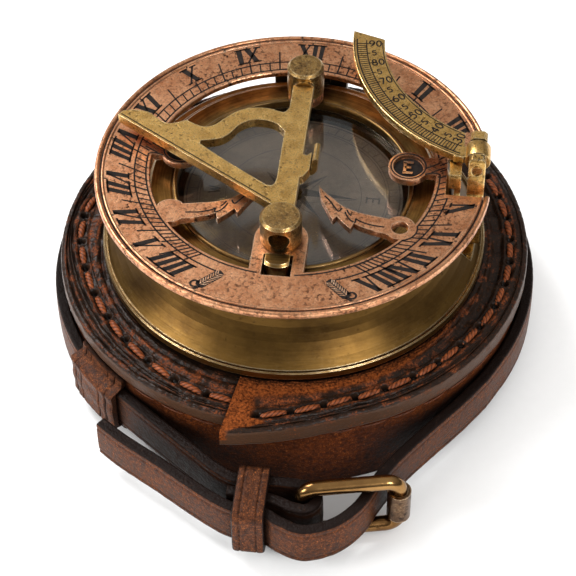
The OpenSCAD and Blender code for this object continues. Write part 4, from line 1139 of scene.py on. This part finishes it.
# %% [markdown]
# ## Letters and digits
# The discs' letters, the arc's numbers and the card's letters are plain: each is a few lines in a
# box one wide and 1.6 high. Straight lines are given by their ends, round ones are stretches of
# an ellipse.

# %% Plain letters
GLYPH_H, GLYPH_STEP = 1.6, 1.35


def arc2(x, y, rx, ry, start, stop):
    """Points on a stretch of an ellipse: middle plus half width times cosine, half height times sine."""
    return np.array([x, y]) + arc_line([0, 0], 1, start, stop, 14) * [rx, ry]


GLYPHS = {
    "0": [arc2(0.5, 0.8, 0.45, 0.8, 0, 360)],
    "3": [arc2(0.45, 1.2, 0.42, 0.4, 150, -90), arc2(0.45, 0.42, 0.5, 0.42, 90, -150)],
    "4": [[(0.7, 0), (0.7, 1.6)], [(0.7, 1.6), (0, 0.5)], [(0, 0.5), (1, 0.5)]],
    "5": [[(0.95, 1.6), (0.2, 1.6)], [(0.2, 1.6), (0.12, 0.9)], arc2(0.42, 0.52, 0.52, 0.52, 120, -140)],
    "6": [arc2(0.5, 0.48, 0.46, 0.48, 0, 360), arc2(1.0, 0.5, 0.96, 1.1, 180, 105)],
    "7": [[(0, 1.6), (1, 1.6)], [(1, 1.6), (0.35, 0)]],
    "8": [arc2(0.5, 1.2, 0.36, 0.4, 0, 360), arc2(0.5, 0.42, 0.46, 0.42, 0, 360)],
    "9": [arc2(0.5, 1.12, 0.46, 0.48, 0, 360), arc2(0, 1.1, 0.96, 1.1, 0, -75)],
    "N": [[(0, 0), (0, 1.6)], [(0, 1.6), (1, 0)], [(1, 0), (1, 1.6)]],
    "E": [[(0.1, 0), (0.1, 1.6)], [(-0.1, 1.6), (1, 1.6)], [(0.1, 0.82), (0.8, 0.82)], [(-0.1, 0), (1, 0)]],
    "S": [arc2(0.5, 1.2, 0.42, 0.4, 30, 260), arc2(0.5, 0.4, 0.46, 0.4, 80, -150)],
    "W": [[(-0.1, 1.6), (0.25, 0)], [(0.25, 0), (0.5, 1.3)], [(0.5, 1.3), (0.75, 0)], [(0.75, 0), (1.1, 1.6)]]}


def write(text, at, turn, size, width, top):
    """Plain letters centred on a point, with their reading direction turned by some degrees."""
    u, v = polar(1, turn), polar(1, turn + 90)
    parts = []
    for k, letter in enumerate(text):
        left = (k - (len(text) - 1) / 2) * GLYPH_STEP - 0.5
        for line in GLYPHS[letter]:
            line = np.asarray(line, float)
            points = np.asarray(at) + size * ((line[:, :1] + left) * u + (line[:, 1:] - GLYPH_H / 2) * v)
            parts.append(ribbon(points, width, top))
    return parts


print("letters and digits:", len(GLYPHS))

# %% [markdown]
# ## Leaf ornaments and scroll lines
# Two sprigs close the scale at the front. Each is a dark bar with two rows of bright leaflets and a
# curl at its outer end. The west side is the east side mirrored, apart from the letter in its disc.

# %% Ornaments of the ring
SPRIG_FOOT, SPRIG_HEAD = np.array([12.7, -37.5]), np.array([18.1, -42.5])
DISC_AT, DISC_FLOOR, DISC_R = np.array([28.9, 3.4]), RING_TOP - 1.0, 3.7


def leaf_bar(side):
    """A sprig from the inner circle to the border: its dark bar and curl, and its bright leaflets."""
    way = (SPRIG_HEAD - SPRIG_FOOT) / np.linalg.norm(SPRIG_HEAD - SPRIG_FOOT)
    across = np.array([way[1], -way[0]])
    along = np.linspace(0, 1, 13)
    half = 1.3 * np.clip(np.minimum(along / 0.12, (1 - along) / 0.08), 0.3, 1)[:, None] ** 0.5
    spine = SPRIG_FOOT + along[:, None] * (SPRIG_HEAD - SPRIG_FOOT)
    one, other = spine + across * half, spine - across * half
    bar = np.stack([one[:-1], one[1:], other[1:], other[:-1]], 1)
    dark = [blocks(bar * side), ribbon(arc2(18.8, -41.8, 1.05, 1.0, 165, -130) * side, 0.55),
            ribbon(np.array([[17.4, -42.6], [18.4, -43.3], [19.4, -43.5]]) * side, 0.5)]
    at, thick = np.linspace(0.16, 0.86, 8)[:, None], way * 0.19
    leaves = []
    for row in (-1, 1):
        base = SPRIG_FOOT + at * (SPRIG_HEAD - SPRIG_FOOT) + across * 0.12 * row
        tip = base - way * 0.95 + across * row
        leaves.append(np.stack([base - thick * 1.2, base + thick * 1.2, tip + thick, tip - thick * 0.4], 1))
    return dark, blocks(np.concatenate(leaves) * side, INK + 0.05)


SCROLLS = ([[24.6, -18.5], [21.2, -18.1], [18.6, -17.2], [17.3, -16.3]],
           [[17.4, -16.4], [17.3, -17.7], [16.0, -16.9], [15.0, -15.4], [14.6, -14.3]],
           [[13.7, -13.1], [12.9, -14.3], [11.6, -12.6], [10.2, -10.6], [9.0, -9.3]],
           [[16.2, -15.5], [15.5, -14.7], [15.0, -13.6]])
dark, leaves, letters = [], [], []
for mirror, letter, width in ((1, "E", 0.75), (-1, "W", 0.65)):
    side = np.array([mirror, 1.0])
    bar, bright = leaf_bar(side)
    dark += bar + [ribbon(smooth_line(line, 5 if k == 0 else 4) * side, LINE) for k, line in enumerate(SCROLLS)]
    dark += [circle(DISC_AT * side, 4.4, RUNG), circle(DISC_AT * side, DISC_R / 2, DISC_R, DISC_FLOOR + 0.05)]
    leaves.append(bright)
    letters += write(letter, DISC_AT * side, 0, 2.3, width, DISC_FLOOR + 0.5)
inlay("ring_ornament", dark, engraving_fill, "dial")
inlay("bright_leaves_and_letters", leaves + letters, copper, "dial")
print("ornament strokes:", len(dark) + len(leaves) + len(letters))

# %% [markdown]
# ## The latitude scale
# The folded arc carries a degree scale. Its lines are circles round the arc's own middle, and each
# number is written across the band, with its top towards the free end.

# %% Latitude scale
ARC_AT, ARC_R, ARC_TOP = np.array([58.0, 44.5]), 46.9, 59.3
ARC_FROM, ARC_TO, DEGREES, FIRST_NUMBER = 246.6, 185.2, 60, 30
LADDER_OUT, LADDER_IN, LONG_IN = 1.1, 3.6, 4.4
CLEAR_OF_EAR = 245.6  # the first number stays clear of the bracket's ear when the arc is up
SCALE_INK, GNOMON_INK = ARC_TOP + PROUD, 57.35 + PROUD
STYLE_LINE = [[-45.0, 9.35], [-24.0, -4.25], [-3.4, -17.6]]


def on_arc(inset, angle):
    """A point of the arc, by its distance in from the outer edge and its angle."""
    return ARC_AT + polar(ARC_R - inset, angle)


scale = [ribbon(arc_line(ARC_AT, ARC_R - inset, 182.5 + inset * 0.3, stop, 60), wide, SCALE_INK)
         for inset, stop, wide in ((0.4, 249, 0.2), (LADDER_OUT, 249, 0.36), (LADDER_IN, 248, 0.3), (7.8, 245, 0.26))]
for degree in range(DEGREES + 1):
    angle = ARC_FROM + (ARC_TO - ARC_FROM) * degree / DEGREES
    inset, wide = (LADDER_IN, 0.22) if degree % 5 else (LONG_IN, 0.3)
    scale.append(ribbon([on_arc(inset, angle), on_arc(LADDER_OUT, angle)], wide, SCALE_INK))
    if degree % 10 == 0:
        turn = min(angle, CLEAR_OF_EAR)
        scale += write(str(FIRST_NUMBER + degree), on_arc(5.9, turn), turn + 180, 1.35, 0.4, SCALE_INK)
    elif degree % 5 == 0:
        scale += write("5", on_arc(5.4, angle), angle + 180, 1.1, 0.34, SCALE_INK)
inlay("latitude_scale", scale, engraving_fill, "arc")
inlay("style_line", [ribbon(STYLE_LINE, 0.3, GNOMON_INK)], engraving_fill, "gnomon")
print("scale strokes:", len(scale))

# %% [markdown]
# ## The compass card
# Under the glass, the card has a star of eight points. Each point is split down the middle, one
# half inked and one half left as paper, which makes the star look folded. A ring of ticks and
# four plain letters finish it.

# %% Card print
CARD_INK = 41.3 + PROUD
STARS = ((16.5, 2.6, 0), (11.0, 1.9, 45))
DEGREE_R, CARD_EDGE_R, LETTER_R = 24.6, 27.2, 20.4


def star_halves(reach, width, turn):
    """Four thin three-cornered halves of a star's points, as four-cornered blocks."""
    out = polar(1, turn + np.arange(0, 360, 90))
    across = np.stack([-out[:, 1], out[:, 0]], -1)
    return np.stack([out * 0.8, out * reach, out * (reach - 0.05) + across * 0.02, out * width + across * width], 1)


print_marks = [blocks(np.concatenate([star_halves(*star) for star in STARS]), CARD_INK, 0.06)]
for reach, width, turn in STARS:
    for out in polar(1, turn + np.arange(0, 360, 90)):
        across = np.array([out[1], -out[0]])
        print_marks.append(ribbon([out * reach, out * width + across * width, out * 0.8], 0.14, CARD_INK))
print_marks += [ribbon(arc_line([0, 0], radius, 0, 360, 121)[:-1], wide, CARD_INK, closed=True)
                for radius, wide in ((27.3, 0.35), (DEGREE_R, 0.16), (23.9, 0.16), (17.4, 0.14))]
for tick in range(0, 360, 5):
    end, wide = (26, 0.12) if tick % 10 else (CARD_EDGE_R, 0.2)
    print_marks.append(ribbon([polar(DEGREE_R, tick), polar(end, tick)], wide, CARD_INK))
for letter, turn in zip("ENWS", (-90, 0, 90, 180)):
    print_marks += write(letter, polar(LETTER_R, turn + 90), turn, 2.0, 0.45, CARD_INK)
inlay("card_print", print_marks, card_ink, "card")
print("card strokes:", len(print_marks))
